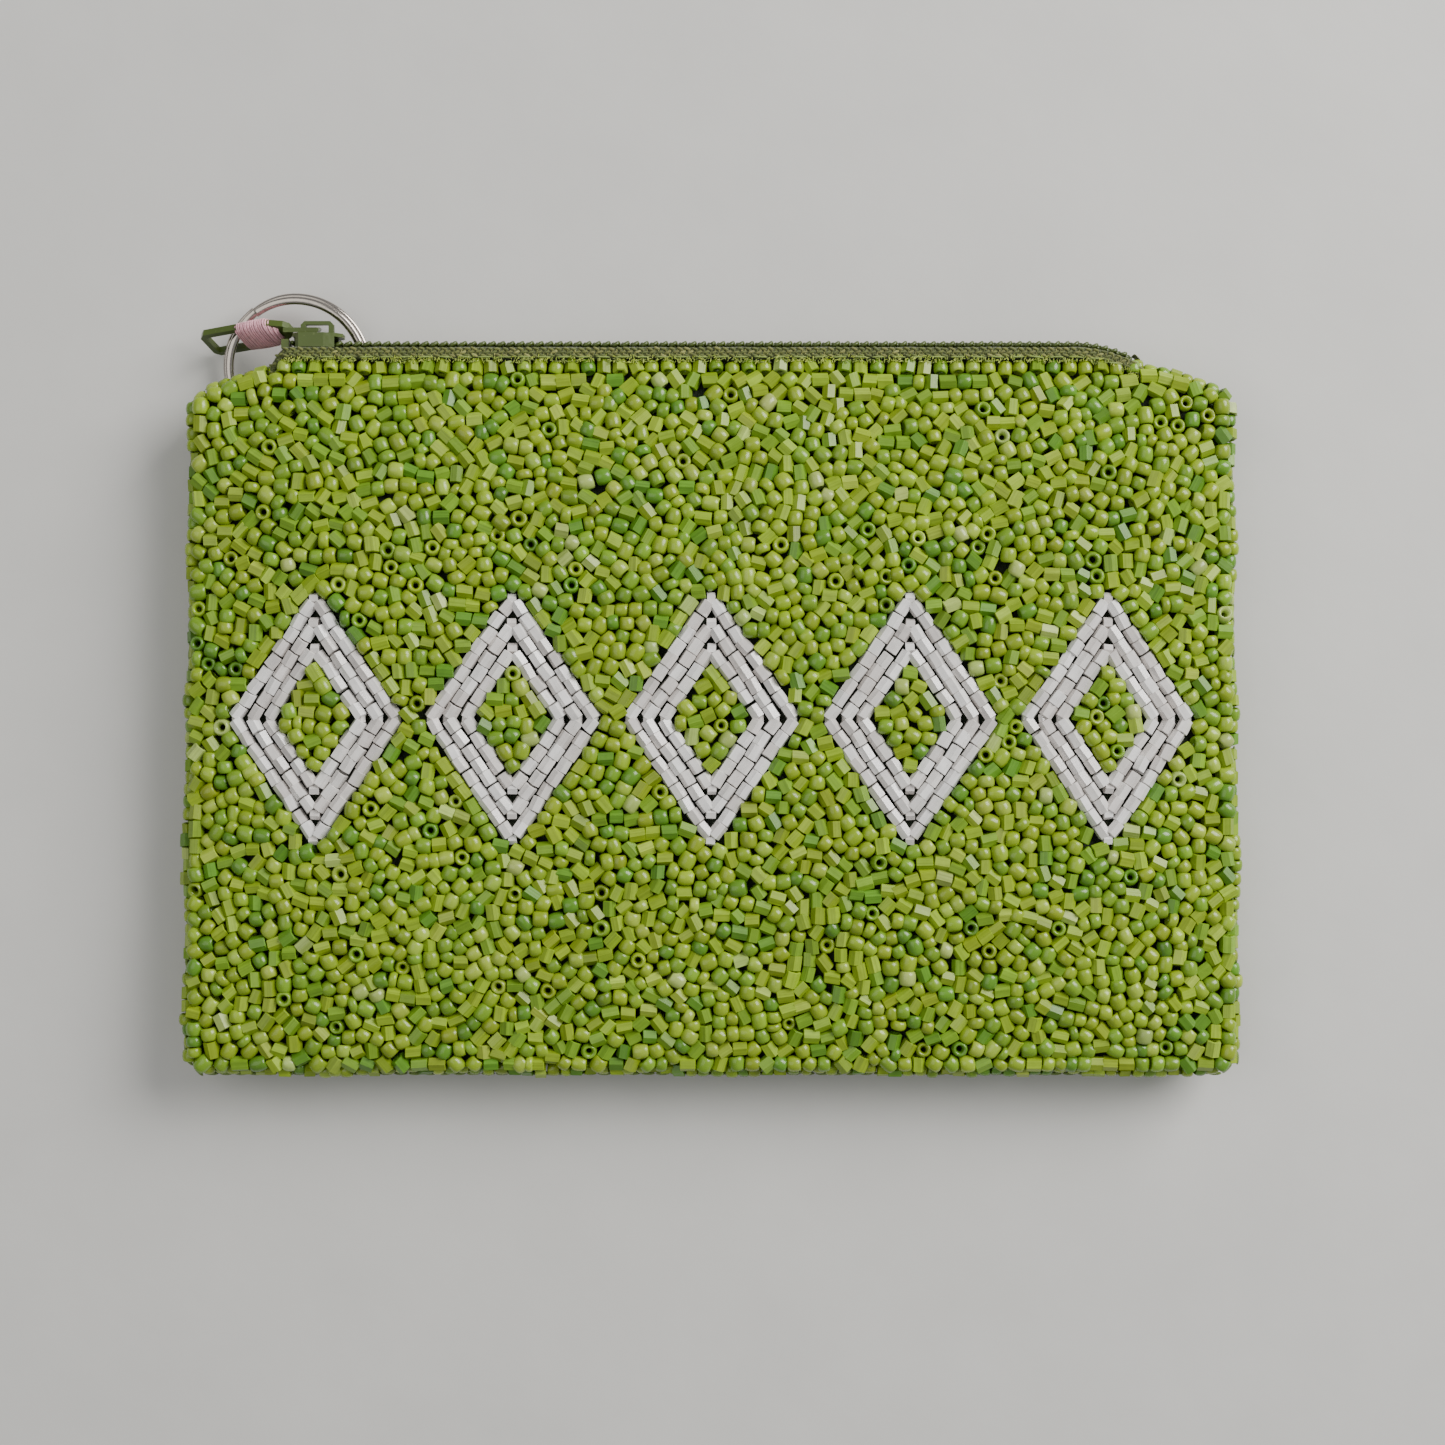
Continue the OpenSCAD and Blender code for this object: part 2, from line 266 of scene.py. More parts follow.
def add_bump(nodes, links, height, shader, distance, strength=1.0):
    """Bumps a shader's normal by a height socket, distance in millimetres."""
    bump = nodes.new("ShaderNodeBump")
    bump.inputs["Distance"].default_value = distance * MM
    bump.inputs["Strength"].default_value = strength
    links.new(height, bump.inputs["Height"])
    links.new(bump.outputs[0], shader.inputs["Normal"])


def woven_material(name, colour, threads, vary, rough, bump_mm, sheen):
    """Woven cloth with faint mottling and painted shade where its threads dip."""
    mat, nodes, links, shader = new_material(name)
    woven = use_group(nodes, weave, Color=colour, Threads_per_metre=threads, Vary=vary)
    soft = use_group(nodes, mottle, Scale=90.0, Vary=0.25, Rough_Low=rough, Rough_High=rough + 0.15)
    links.new(woven.outputs["Color"], soft.inputs["Color"])
    links.new(soft.outputs["Color"], shader.inputs["Base Color"])
    links.new(soft.outputs["Roughness"], shader.inputs["Roughness"])
    shader.inputs["Sheen Weight"].default_value = sheen
    add_bump(nodes, links, woven.outputs["Height"], shader, bump_mm)
    return mat


def half_blend(piece):
    """Bakes the piece's placement into its mesh; nothing ties it to the back or to the front."""
    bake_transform(piece)


lining_rng = np.random.default_rng(11)
lining_satin = woven_material("lining_satin", LINING_COLOUR, 5200.0, 0.35, 0.36, 0.03, 0.3)
back_lining = dished_sheet("back_lining_cloth", LINING_DEPTH, LINING_T, False, "whole", lining_rng)
back_lining.data.materials.append(lining_satin)
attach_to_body(back_lining, "purse_back")
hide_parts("back_lining")
for part in ("left", "right"):
    piece = dished_sheet("front_lining_cloth_" + part, LINING_DEPTH, LINING_T, True, part, lining_rng)
    piece.data.materials.append(lining_satin)
    half_blend(piece)
    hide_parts("front_lining")


# ---- Ground cloth ----
# Tightly woven green cotton that every bead is sewn to, one panel for each face. Its colour is
# painted almost black, as painted shade for the thin gaps between the beads. It is seamed round the sides and the
# bottom.
CLOTH_DEPTH = 2.25
CLOTH_T = 0.3
# Far darker than the chartreuse cloth: painted shade in the gaps between the beads.
CLOTH_SHADE_COLOUR = (0.009, 0.018, 0.002, 1.0)
cloth_rng = np.random.default_rng(12)
shaded_ground_cotton = woven_material("shaded_ground_cotton", CLOTH_SHADE_COLOUR, 2600.0, 0.5, 0.75, 0.08, 0.1)
back_cloth = dished_sheet("back_ground_cloth", CLOTH_DEPTH, CLOTH_T, False, "whole", cloth_rng)
back_cloth.data.materials.append(shaded_ground_cotton)
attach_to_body(back_cloth, "purse_back")
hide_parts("back_cloth")
for part in ("left", "right"):
    piece = dished_sheet("front_ground_cloth_" + part, CLOTH_DEPTH, CLOTH_T, True, part, cloth_rng)
    piece.data.materials.append(shaded_ground_cotton)
    half_blend(piece)
    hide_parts("front_cloth")


# ---- Glass beads of the back and the front ----
# Opaque green glass seed beads, round and cut, sewn down in short curving runs until they cover
# the cloth. The front also carries five open diamonds in pearl-white cut beads, three rows wide.
BEAD_R = 1.05
CUT_R = 1.01
RIM_ROW_Z = 5.5
MOUTH_ROW_Z = 4.5
GAP = 0.15
RUN_LENGTHS = (3, 4, 5, 6, 7)
RUN_PITCH = 6.1
FILL_ROUNDS = 7
FILL_ROOM = 1.46
CROWDED = 1.6
RUN_STEP = 1.7
FILL_STEP = 0.45
EDGE_ROOM = 2.0
SHARED_PUSH = 0.30
LONE_PUSH = 0.62
THREAD_PULL = 0.14
TURN_RATE = 0.25
CUT_SHARE = 0.42
STRAY_SHARE = 0.22
STANDING_SHARE = 0.03
ROUND_R = 1.10
ROUND_HALF = 0.93
CUT_HALF = 1.05
MOUTH_PITCH = 2.12
RIM_INSET = 1.02
RIM_BEADS = 268
ROUND, CUT, STANDING = 0, 1, 2
GREENS = np.array([
    (0.235, 0.345, 0.014), (0.215, 0.31, 0.004), (0.155, 0.285, 0.014), (0.095, 0.225, 0.014),
    (0.29, 0.40, 0.035), (0.34, 0.44, 0.10)])
GREEN_SHARES = (0.34, 0.19, 0.24, 0.11, 0.10, 0.02)
PEARLS = np.array([(0.70, 0.67, 0.64), (0.62, 0.58, 0.55), (0.78, 0.76, 0.74)])
DIAMONDS = 5
DIAMOND_PITCH = 26.0
DIAMOND_HALF = np.array([12.0, 17.5])
PEARL_ROWS = (0.95, 2.82, 4.69)
PEARL_LEN = 2.16
STROKE = 5.6
TIP_ROOM = 1.55
CORNER_ROOM = 1.15


def ring_template(profile, around):
    """A lathed shape round the X axis from a closed profile of (x, radius)."""
    turn = np.arange(around) * 2 * np.pi / around
    points = np.array([(x, r * np.cos(t), r * np.sin(t)) for x, r in profile for t in turn])
    faces, uvs = [], []
    for k in range(len(profile)):
        m = (k + 1) % len(profile)
        for i in range(around):
            j = (i + 1) % around
            faces.append((k * around + i, k * around + j, m * around + j, m * around + i))
            u, w, a, b = i / around, (i + 1) / around, k / len(profile), (k + 1) / len(profile)
            uvs.append(((u, a), (w, a), (w, b), (u, b)))
    return points, np.array(faces), np.array(uvs)


def round_profile():
    """Section of a seed bead with length and radius 1: bulging outside, small hole."""
    middle, half, power = 0.64, 0.36, 0.90
    shape = []
    for degrees in (270, 0, 28, 60, 90, 120, 152, 180):
        t = np.radians(degrees)
        c, s = np.cos(t), np.sin(t)
        shape.append((np.sign(c) * abs(c) ** power if abs(c) > 1e-6 else 0.0,
                      middle + half * (np.sign(s) * abs(s) ** power if abs(s) > 1e-6 else 0.0)))
    return shape


ROUND_SHAPE = ring_template(round_profile(), 12)
CUT_SHAPE = ring_template([(-0.88, 0.4), (-1.0, 0.8), (-0.92, 1.0), (0.92, 1.0), (1.0, 0.8), (0.88, 0.4)], 6)


def many(name, shape, centres, axes, normals, half_lengths, radii, colours, rng, smooth, skew=0.0):
    """One mesh of many copies of a shape, each turned, sized and coloured by itself."""
    points, faces, uvs = shape
    n, v, f = len(centres), len(points), len(faces)
    axes = axes - normals * (axes * normals).sum(1)[:, None]
    axes /= np.linalg.norm(axes, axis=1)[:, None]
    sideways = np.cross(normals, axes)
    roll = rng.uniform(0, 2 * np.pi, n)
    c, s = np.cos(roll)[:, None], np.sin(roll)[:, None]
    second, third = sideways * c + normals * s, normals * c - sideways * s
    lean = rng.uniform(-skew, skew, (n, 2))
    x = points[None, :, 0] * half_lengths[:, None]
    x = x + (points[None, :, 1] * lean[:, :1] + points[None, :, 2] * lean[:, 1:]) * radii[:, None]
    y = points[None, :, 1] * radii[:, None]
    z = points[None, :, 2] * radii[:, None]
    placed = (centres[:, None, :] + x[..., None] * axes[:, None, :]
              + y[..., None] * second[:, None, :] + z[..., None] * third[:, None, :])
    loops = (faces[None] + (np.arange(n) * v)[:, None, None]).reshape(-1)
    mesh = bpy.data.meshes.new(name)
    mesh.vertices.add(n * v)
    mesh.vertices.foreach_set("co", (placed * MM).astype(np.float32).ravel())
    mesh.loops.add(len(loops))
    mesh.loops.foreach_set("vertex_index", loops.astype(np.int32))
    mesh.polygons.add(n * f)
    mesh.polygons.foreach_set("loop_start", (np.arange(n * f) * 4).astype(np.int32))
    mesh.update(calc_edges=True)
    mesh.polygons.foreach_set("use_smooth", [smooth] * (n * f))
    layer = mesh.uv_layers.new(name="bead_map")
    shifted = uvs.reshape(1, -1, 2) + rng.uniform(0, 9, (n, 1, 2))
    layer.data.foreach_set("uv", shifted.astype(np.float32).ravel())
    tint = mesh.attributes.new("bead_colour", "FLOAT_COLOR", "POINT")
    rgba = np.concatenate([colours, np.ones((n, 1))], axis=1)
    tint.data.foreach_set("color", np.repeat(rgba, v, axis=0).astype(np.float32).ravel())
    mesh.validate()
    made = bpy.data.objects.new(name, mesh)
    bpy.context.scene.collection.objects.link(made)
    return made


def support(half_length, radius, angle, towards):
    """How far a bead reaches from its middle in a direction."""
    c = np.abs(np.cos(towards - angle)) / half_length
    s = np.abs(np.sin(towards - angle)) / radius
    return (c ** 3 + s ** 3) ** (-1 / 3)


def in_stroke(xy, grow):
    """Which points lie on a diamond's outline, grown by some millimetres."""
    inside = np.zeros(len(xy), bool)
    reach = DIAMOND_HALF.prod() / np.linalg.norm(DIAMOND_HALF)
    for k in range(DIAMONDS):
        local = np.abs(xy - ((k - (DIAMONDS - 1) / 2) * DIAMOND_PITCH, 0))
        depth = (1 - (local / DIAMOND_HALF).sum(1)) * reach
        inside |= (depth > -grow) & (depth < STROKE + grow)
    return inside


def pearl_row_beads():
    """Middles and angles of the pearl beads along the sides of the diamonds."""
    found = []
    reach = DIAMOND_HALF.prod() / np.linalg.norm(DIAMOND_HALF)
    for k in range(DIAMONDS):
        middle = (k - (DIAMONDS - 1) / 2) * DIAMOND_PITCH
        for depth in PEARL_ROWS:
            half = DIAMOND_HALF * (1 - depth / reach)
            length = np.linalg.norm(half)
            row = length - TIP_ROOM - CORNER_ROOM
            count = max(2, round(row / PEARL_LEN) + 1)
            for sx in (-1, 1):
                for sy in (-1, 1):
                    top = np.array([0.0, sy * half[1]])
                    step = np.array([sx * half[0], -sy * half[1]]) / length
                    for i in range(count):
                        at = TIP_ROOM + row * i / (count - 1)
                        spot = top + step * at
                        found.append((middle + spot[0], spot[1], np.arctan2(step[1], step[0]), 1.01, 0.91))
            for side in (-1, 1):
                found.append((middle, side * (half[1] - 0.05), 0.0, 0.62, 0.80))
                found.append((middle + side * (half[0] - 0.15), 0.0, np.pi / 2, 0.55, 0.60))
    return np.array(found)


def near_pairs(p, free, reach_mm=3.4):
    """Every pair of beads close enough to touch, with at least one of them free to move."""
    order = np.argsort(p[:, 0])
    xs = p[order, 0]
    reach = np.searchsorted(xs, xs + reach_mm) - np.arange(len(p)) - 1
    first = np.repeat(np.arange(len(p)), reach)
    within = np.arange(len(first)) - np.repeat(np.cumsum(reach) - reach, reach)
    i, j = order[first], order[first + 1 + within]
    close = (np.abs(p[i, 1] - p[j, 1]) < reach_mm) & (free[i] | free[j])
    return i[close], j[close]


def overlaps(p, a, h, r, i, j, gap):
    """How far each pair of beads is pushed into each other, and the direction from i to j."""
    d = p[j] - p[i]
    dist = np.maximum(np.linalg.norm(d, axis=1), 1e-3)
    toward = np.arctan2(d[:, 1], d[:, 0])
    want = support(h[i], r[i], a[i], toward) + support(h[j], r[j], a[j], toward) + gap
    return np.clip(want - dist, 0, 1.0), d / dist[:, None]


def relax(p, a, h, r, free, link, steps):
    """Lets beads push apart, with each run held together by its thread. Changes p and a."""
    for step in range(steps):
        if step % 8 == 0:
            i, j = near_pairs(p, free)
        over, u = overlaps(p, a, h, r, i, j, GAP)
        push = (over * np.where(free[i] & free[j], SHARED_PUSH, LONE_PUSH))[:, None] * u
        d = p[link + 1] - p[link]
        dist = np.maximum(np.linalg.norm(d, axis=1), 1e-3)
        pull = ((dist - h[link] - h[link + 1] - GAP) * THREAD_PULL / dist)[:, None] * d
        move = np.zeros_like(p)
        for axis in (0, 1):
            for at, amount in ((j, push), (i, -push), (link, pull), (link + 1, -pull)):
                move[:, axis] += np.bincount(at, amount[:, axis], len(p))
        size = np.linalg.norm(move, axis=1)
        move *= (np.minimum(size, 0.5) / np.maximum(size, 1e-6))[:, None]
        p[free] += move[free]
        inset, inward = inset_of(p)
        p[free] += (np.clip(EDGE_ROOM - inset, 0, EDGE_ROOM)[:, None] * inward)[free]
        heading = np.arctan2(d[:, 1], d[:, 0])
        for shift in (0, 1):
            turn = (heading - a[link + shift] + np.pi / 2) % np.pi - np.pi / 2
            a[link + shift] += TURN_RATE * turn


def open_spots(p, room, motif):
    """Places on the panel with at least this much room to the nearest bead, largest first."""
    step = FILL_STEP
    nx, ny = int(2 * HALF_W / step) + 1, int(2 * HALF_H / step) + 1
    clear = np.full((nx, ny), 3.0)
    cell = np.round((p + (HALF_W, HALF_H)) / step).astype(int)
    for ox in range(-6, 7):
        for oy in range(-6, 7):
            at = cell + (ox, oy)
            ok = (at >= 0).all(1) & (at < (nx, ny)).all(1)
            where = at[ok] * step - (HALF_W, HALF_H)
            gap = np.linalg.norm(where - p[ok], axis=1)
            np.minimum.at(clear, (at[ok, 0], at[ok, 1]), gap)
    xs, ys = np.nonzero(clear > room)
    spots = np.column_stack([xs, ys]) * step - (HALF_W, HALF_H)
    order = np.argsort(-clear[xs, ys], kind="stable")
    spots = spots[order]
    good = inset_of(spots)[0] > 1.9
    if motif:
        good &= ~in_stroke(spots, 0.35)
    chosen = []
    for spot in spots[good]:
        if all((spot[0] - c[0]) ** 2 + (spot[1] - c[1]) ** 2 > 3.0 for c in chosen):
            chosen.append(spot)
    return np.array(chosen).reshape(-1, 2)


def settle(rng, fixed, motif):
    """Lays short runs of beads over the panel, lets them push each other apart, and fills what
    gaps are left. fixed rows are (x, y, angle, half length, radius). Returns the same for the
    free beads, with their kinds."""
    spots, angles, runs = [], [], []
    for gy in np.arange(-HALF_H + 1, HALF_H, RUN_PITCH / 2):
        for gx in np.arange(-HALF_W + 1, HALF_W, RUN_PITCH):
            start = np.array([gx, gy]) + rng.uniform(-1.6, 1.6, 2)
            flow = (2.2 * np.sin(start[0] / 17 + 1.3 * np.cos(start[1] / 11))
                    + 1.7 * np.cos(start[1] / 14 - start[0] / 23) + rng.normal(0, 0.7))
            bend = rng.normal(0, 0.22)
            count = rng.choice(RUN_LENGTHS)
            heading = flow + bend * (np.arange(count) - count / 2)
            steps = np.stack([np.cos(heading), np.sin(heading)], 1) * RUN_STEP
            spots.append(start + np.cumsum(steps, 0) - steps.sum(0) / 2)
            angles.append(heading)
            runs.append(np.full(count, len(runs)))
    spots, angles, runs = np.concatenate(spots), np.concatenate(angles), np.concatenate(runs)
    keep = inset_of(spots)[0] > 1.2
    if motif:
        keep &= ~in_stroke(spots, 0.4)
    p, a, runs = spots[keep], angles[keep], runs[keep]
    cut_run = rng.random(runs.max() + 1) < CUT_SHARE
    kinds = np.where(cut_run[runs], CUT, ROUND)
    m = len(fixed)
    p, a = np.concatenate([fixed[:, :2], p]), np.concatenate([fixed[:, 2], a])
    runs = np.concatenate([-1 - np.arange(m), runs])
    h, r = fixed[:, 3], fixed[:, 4]
    all_kinds = np.full(m, -1)
    half_all = fixed[:, 3]
    for fill in range(FILL_ROUNDS):
        n = len(kinds)
        swap = rng.random(n) < STRAY_SHARE
        kinds[swap] = CUT - kinds[swap]
        kinds[rng.random(n) < STANDING_SHARE] = STANDING
        half = np.where(kinds == CUT, rng.normal(CUT_HALF, 0.08, n), rng.normal(ROUND_HALF, 0.14, n))
        half = np.clip(half, 0.5, 1.15)
        radius = np.where(kinds == CUT, rng.normal(CUT_R, 0.04, n), rng.normal(ROUND_R, 0.05, n))
        h = np.concatenate([h, np.where(kinds == STANDING, radius, half)])
        r = np.concatenate([r, radius])
        half_all = np.concatenate([half_all, half])
        all_kinds = np.concatenate([all_kinds, kinds])
        free = all_kinds >= 0
        lying = free & (all_kinds != STANDING)
        link = np.flatnonzero((runs[1:] == runs[:-1]) & lying[1:] & lying[:-1])
        steps = 60 if fill == 0 else 26
        relax(p, a, h, r, free, link, steps)
        i, j = near_pairs(p, free)
        over, _ = overlaps(p, a, h, r, i, j, 0.0)
        crowd = np.bincount(i, over, len(p)) + np.bincount(j, over, len(p))
        stays = ~free | (crowd < CROWDED)
        p, a, h, r, runs = p[stays], a[stays], h[stays], r[stays], runs[stays]
        half_all, all_kinds = half_all[stays], all_kinds[stays]
        if fill < FILL_ROUNDS - 1:
            added = open_spots(p, FILL_ROOM, motif)
            kinds = np.where(rng.random(len(added)) < 0.4, CUT, ROUND)
            p = np.concatenate([p, added])
            a = np.concatenate([a, rng.uniform(0, np.pi, len(added))])
            runs = np.concatenate([runs, 10000 * (fill + 1) + np.arange(len(added))])
    free = all_kinds >= 0
    return np.column_stack([p, a, half_all, r, all_kinds])[free]


def face_beads(front, motif, rng):
    """Every bead of one face, as arrays: middle, hole axis, outward normal, half length, radius,
    kind and whether it is pearl."""
    out = 1.0 if front else -1.0
    beads = []

    def lay(xy, angle, half, radius, kind, pearl, centre_z=None):
        step = 0.05
        grid = [pillow_z(xy + np.array(o) * step, 0.0, front) for o in ((1, 0), (-1, 0), (0, 1), (0, -1))]
        slope_x, slope_y = (grid[0] - grid[1]) / (2 * step), (grid[2] - grid[3]) / (2 * step)
        normal = np.stack([-slope_x * out, -slope_y * out, np.full(len(xy), out)], 1)
        normal /= np.linalg.norm(normal, axis=1)[:, None]
        normal += rng.normal(0, 0.055, normal.shape)
        normal /= np.linalg.norm(normal, axis=1)[:, None]
        axis = np.stack([np.cos(angle), np.sin(angle), rng.normal(0, 0.15, len(xy))], 1)
        stand = kind == STANDING
        sink = np.where(stand, 2 * BEAD_R - half, 2 * BEAD_R - radius)
        z = pillow_z(xy, 0.0, front) - out * (sink - np.clip(rng.normal(0, 0.07, len(xy)), -0.1, 0.16))
        if centre_z is not None:
            z = THICK - centre_z if front else centre_z
        middle = np.column_stack([xy, z])
        hole = np.where(stand[:, None], normal, axis)
        face = np.where(stand[:, None], axis, normal)
        beads.append((middle, hole, face, half, radius, kind, np.full(len(xy), pearl)))

    mouth_x = np.arange(-MOUTH_HALF + 0.4, MOUTH_HALF, MOUTH_PITCH)
    mouth_x = mouth_x + rng.normal(0, 0.07, len(mouth_x))
    mouth = np.column_stack([mouth_x, np.full(len(mouth_x), HALF_H - 1.05)])
    mouth[:, 1] += rng.normal(0, 0.10, len(mouth_x))
    n = len(mouth)
    mouth_kind = np.where(rng.random(n) < 0.45, CUT, ROUND)
    mouth_half = rng.normal(0.90, 0.07, n)
    mouth_angle = np.pi / 2 + rng.normal(0, 0.12, n)
    lay(mouth, mouth_angle, mouth_half, np.full(n, 1.0), mouth_kind, False,
        np.full(n, MOUTH_ROW_Z) + rng.normal(0, 0.06, n))
    fixed = [np.column_stack([mouth, mouth_angle, mouth_half, np.full(n, 1.0)])]
    rim, travel = along_outline(RIM_INSET, RIM_BEADS)
    side = (np.abs(rim[:, 0]) > MOUTH_HALF - 0.6) | (rim[:, 1] < 0)
    rim, travel = rim[side], travel[side]
    n = len(rim)
    outward = -inset_of(rim)[1]
    wave = 0.22 * np.sin(rim[:, 1] * 0.31 + 1.0) + 0.18 * np.sin(rim[:, 0] * 0.23 + rim[:, 1] * 0.12)
    rim = rim + outward * wave[:, None] + rng.normal(0, 0.12, rim.shape)
    rim_z = RIM_ROW_Z + rng.normal(0, 0.12, n)
    rim_middle = np.column_stack([rim, THICK - rim_z if front else rim_z])
    rim_axis = np.column_stack([travel, rng.normal(0, 0.16, n)])
    rim_kind = np.where(rng.random(n) < 0.35, CUT, ROUND)
    beads.append((rim_middle, rim_axis, np.column_stack([outward, rng.normal(0, 0.1, n)]),
                  rng.normal(0.80, 0.05, n), np.full(n, 0.98), rim_kind, np.zeros(n, bool)))
    if motif:
        rows = pearl_row_beads()
        n = len(rows)
        rows = rows + np.column_stack([rng.normal(0, 0.06, (n, 2)), rng.normal(0, 0.045, n),
                                       rng.normal(0, 0.03, n), rng.normal(0, 0.015, n)])
        lay(rows[:, :2], rows[:, 2], rows[:, 3], rows[:, 4], np.full(n, CUT), True)
        fixed.append(rows)
    loose = settle(rng, np.concatenate(fixed), motif)
    lay(loose[:, :2], loose[:, 2], loose[:, 3], loose[:, 4], loose[:, 5].astype(int), False)
    return [np.concatenate(column) for column in zip(*beads)]


def bead_glass(name, rough_low, rough_high, coat, shine, streaks):
    """Opaque glass coloured bead by bead. Satin beads carry fine streaks along their length."""
    mat, nodes, links, shader = new_material(name)
    tint = nodes.new("ShaderNodeAttribute")
    tint.attribute_name = "bead_colour"
    soft = use_group(nodes, mottle, Scale=900.0, Vary=0.16, Rough_Low=rough_low, Rough_High=rough_high)
    links.new(tint.outputs["Color"], soft.inputs["Color"])
    uv = nodes.new("ShaderNodeUVMap")
    uv.uv_map = "bead_map"
    stretch = nodes.new("ShaderNodeMapping")
    stretch.inputs["Scale"].default_value = (26.0, 1.2, 1.0)
    grain = nodes.new("ShaderNodeTexNoise")
    grain.inputs["Scale"].default_value = 1.0
    grain.inputs["Detail"].default_value = 2.0
    links.new(uv.outputs[0], stretch.inputs[0])
    links.new(stretch.outputs[0], grain.inputs["Vector"])
    level = maths(nodes, links, "ADD",
                  maths(nodes, links, "MULTIPLY", maths(nodes, links, "SUBTRACT", grain.outputs["Fac"], 0.5),
                        streaks), 1.0)
    links.new(times(nodes, links, soft.outputs["Color"], level), shader.inputs["Base Color"])
    links.new(soft.outputs["Roughness"], shader.inputs["Roughness"])
    shader.inputs["IOR"].default_value = 1.52
    shader.inputs["Specular IOR Level"].default_value = shine
    shader.inputs["Coat Weight"].default_value = coat
    shader.inputs["Coat Roughness"].default_value = 0.08
    add_bump(nodes, links, grain.outputs["Fac"], shader, 0.02 * streaks)
    return mat


glossy_glass = bead_glass("glossy_bead_glass", 0.18, 0.34, 0.12, 0.45, 0.15)
satin_glass = bead_glass("satin_cut_glass", 0.26, 0.46, 0.0, 0.4, 0.8)
pearl_glass = bead_glass("pearl_cut_glass", 0.14, 0.28, 0.35, 0.5, 0.28)
for front in (False, True):
    face = "front" if front else "back"
    bead_rng = np.random.default_rng(202 if front else 101)
    middle, axis, normal, half, radius, kind, pearl = face_beads(front, front, bead_rng)
    pick = bead_rng.choice(len(GREENS), len(kind), p=GREEN_SHARES)
    run_tone = bead_rng.normal(1.0, 0.10, (len(kind), 1)) + bead_rng.normal(0, 0.025, (len(kind), 3))
    colour = np.clip(GREENS[pick] * run_tone, 0.01, 0.95)
    pale = PEARLS[bead_rng.choice(len(PEARLS), len(kind))] * bead_rng.normal(1, 0.055, (len(kind), 1))
    colour = np.where(pearl[:, None], np.clip(pale, 0, 0.93), colour)
    for part in ("left", "right"):
        on_side = (middle[:, 0] < 0) == (part == "left")
        groups = [("round", on_side & (kind != CUT), ROUND_SHAPE, glossy_glass, True, 0.10),
                  ("cut", on_side & (kind == CUT) & ~pearl, CUT_SHAPE, satin_glass, False, 0.12)]
        if front:
            groups.append(("pearl", on_side & pearl, CUT_SHAPE, pearl_glass, False, 0.06))
        for label, chosen, shape, glass, smooth, skew in groups:
            piece = many(f"{face}_beads_{label}_{part}", shape, middle[chosen], axis[chosen],
                         normal[chosen], half[chosen], radius[chosen], colour[chosen],
                         bead_rng, smooth, skew)
            piece.data.materials.append(glass)
            if front:
                half_blend(piece)
            else:
                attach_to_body(piece, "purse_back")
            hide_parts("front_motif_beads" if label == "pearl" else face + "_beads")
    print(face, "beads:", len(kind))


# ---- Edge seam ----
# Lockstitch that joins the two panels round the sides and the bottom. Only the thread between
# the last bead rows shows.
SEAM_THREAD_COLOUR = np.array([0.17, 0.25, 0.04])
LUMP = ring_template([(-1.0, 0.06), (-0.8, 0.6), (-0.4, 0.93), (0.0, 1.0), (0.4, 0.93), (0.8, 0.6),
                      (1.0, 0.06)], 8)


def thread_material(name, rough, sheen):
    """Twisted thread, coloured strand by strand, with painted shade in the grooves of its twist."""
    mat, nodes, links, shader = new_material(name)
    tint = nodes.new("ShaderNodeAttribute")
    tint.attribute_name = "bead_colour"
    uv = nodes.new("ShaderNodeUVMap")
    uv.uv_map = "bead_map"
    parts = nodes.new("ShaderNodeSeparateXYZ")
    links.new(uv.outputs[0], parts.inputs[0])
    angle = maths(nodes, links, "ADD", maths(nodes, links, "MULTIPLY", parts.outputs["X"], 4 * np.pi),
                  maths(nodes, links, "MULTIPLY", parts.outputs["Y"], 8 * np.pi))
    ply = maths(nodes, links, "ABSOLUTE", maths(nodes, links, "SINE", angle))
    # Darker in the grooves between the plies: painted shade.
    level = maths(nodes, links, "ADD", maths(nodes, links, "MULTIPLY", ply, 0.45), 0.62)
    soft = use_group(nodes, mottle, Scale=1500.0, Vary=0.3, Rough_Low=rough, Rough_High=rough + 0.2)
    links.new(times(nodes, links, tint.outputs["Color"], level), soft.inputs["Color"])
    links.new(soft.outputs["Color"], shader.inputs["Base Color"])
    links.new(soft.outputs["Roughness"], shader.inputs["Roughness"])
    shader.inputs["Sheen Weight"].default_value = sheen
    add_bump(nodes, links, ply, shader, 0.03)
    return mat


sewing_thread = thread_material("sewing_thread", 0.5, 0.2)
seam_rng = np.random.default_rng(31)
seam_at, seam_way = along_outline(0.35, 236)
sewn = (np.abs(seam_at[:, 0]) > MOUTH_HALF) | (seam_at[:, 1] < 0)
seam_at, seam_way = seam_at[sewn], seam_way[sewn]
n = len(seam_at)
seam = many("edge_seam_thread", LUMP, np.column_stack([seam_at, THICK / 2 + seam_rng.normal(0, 0.04, n)]),
            np.column_stack([seam_way, seam_rng.normal(0, 0.1, n)]),
            np.column_stack([-inset_of(seam_at)[1], np.zeros(n)]), np.full(n, 0.92), np.full(n, 0.26),
            SEAM_THREAD_COLOUR * seam_rng.normal(1, 0.08, (n, 1)), seam_rng, True)
seam.data.materials.append(sewing_thread)
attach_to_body(seam, "purse_back")
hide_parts("edge_seam")


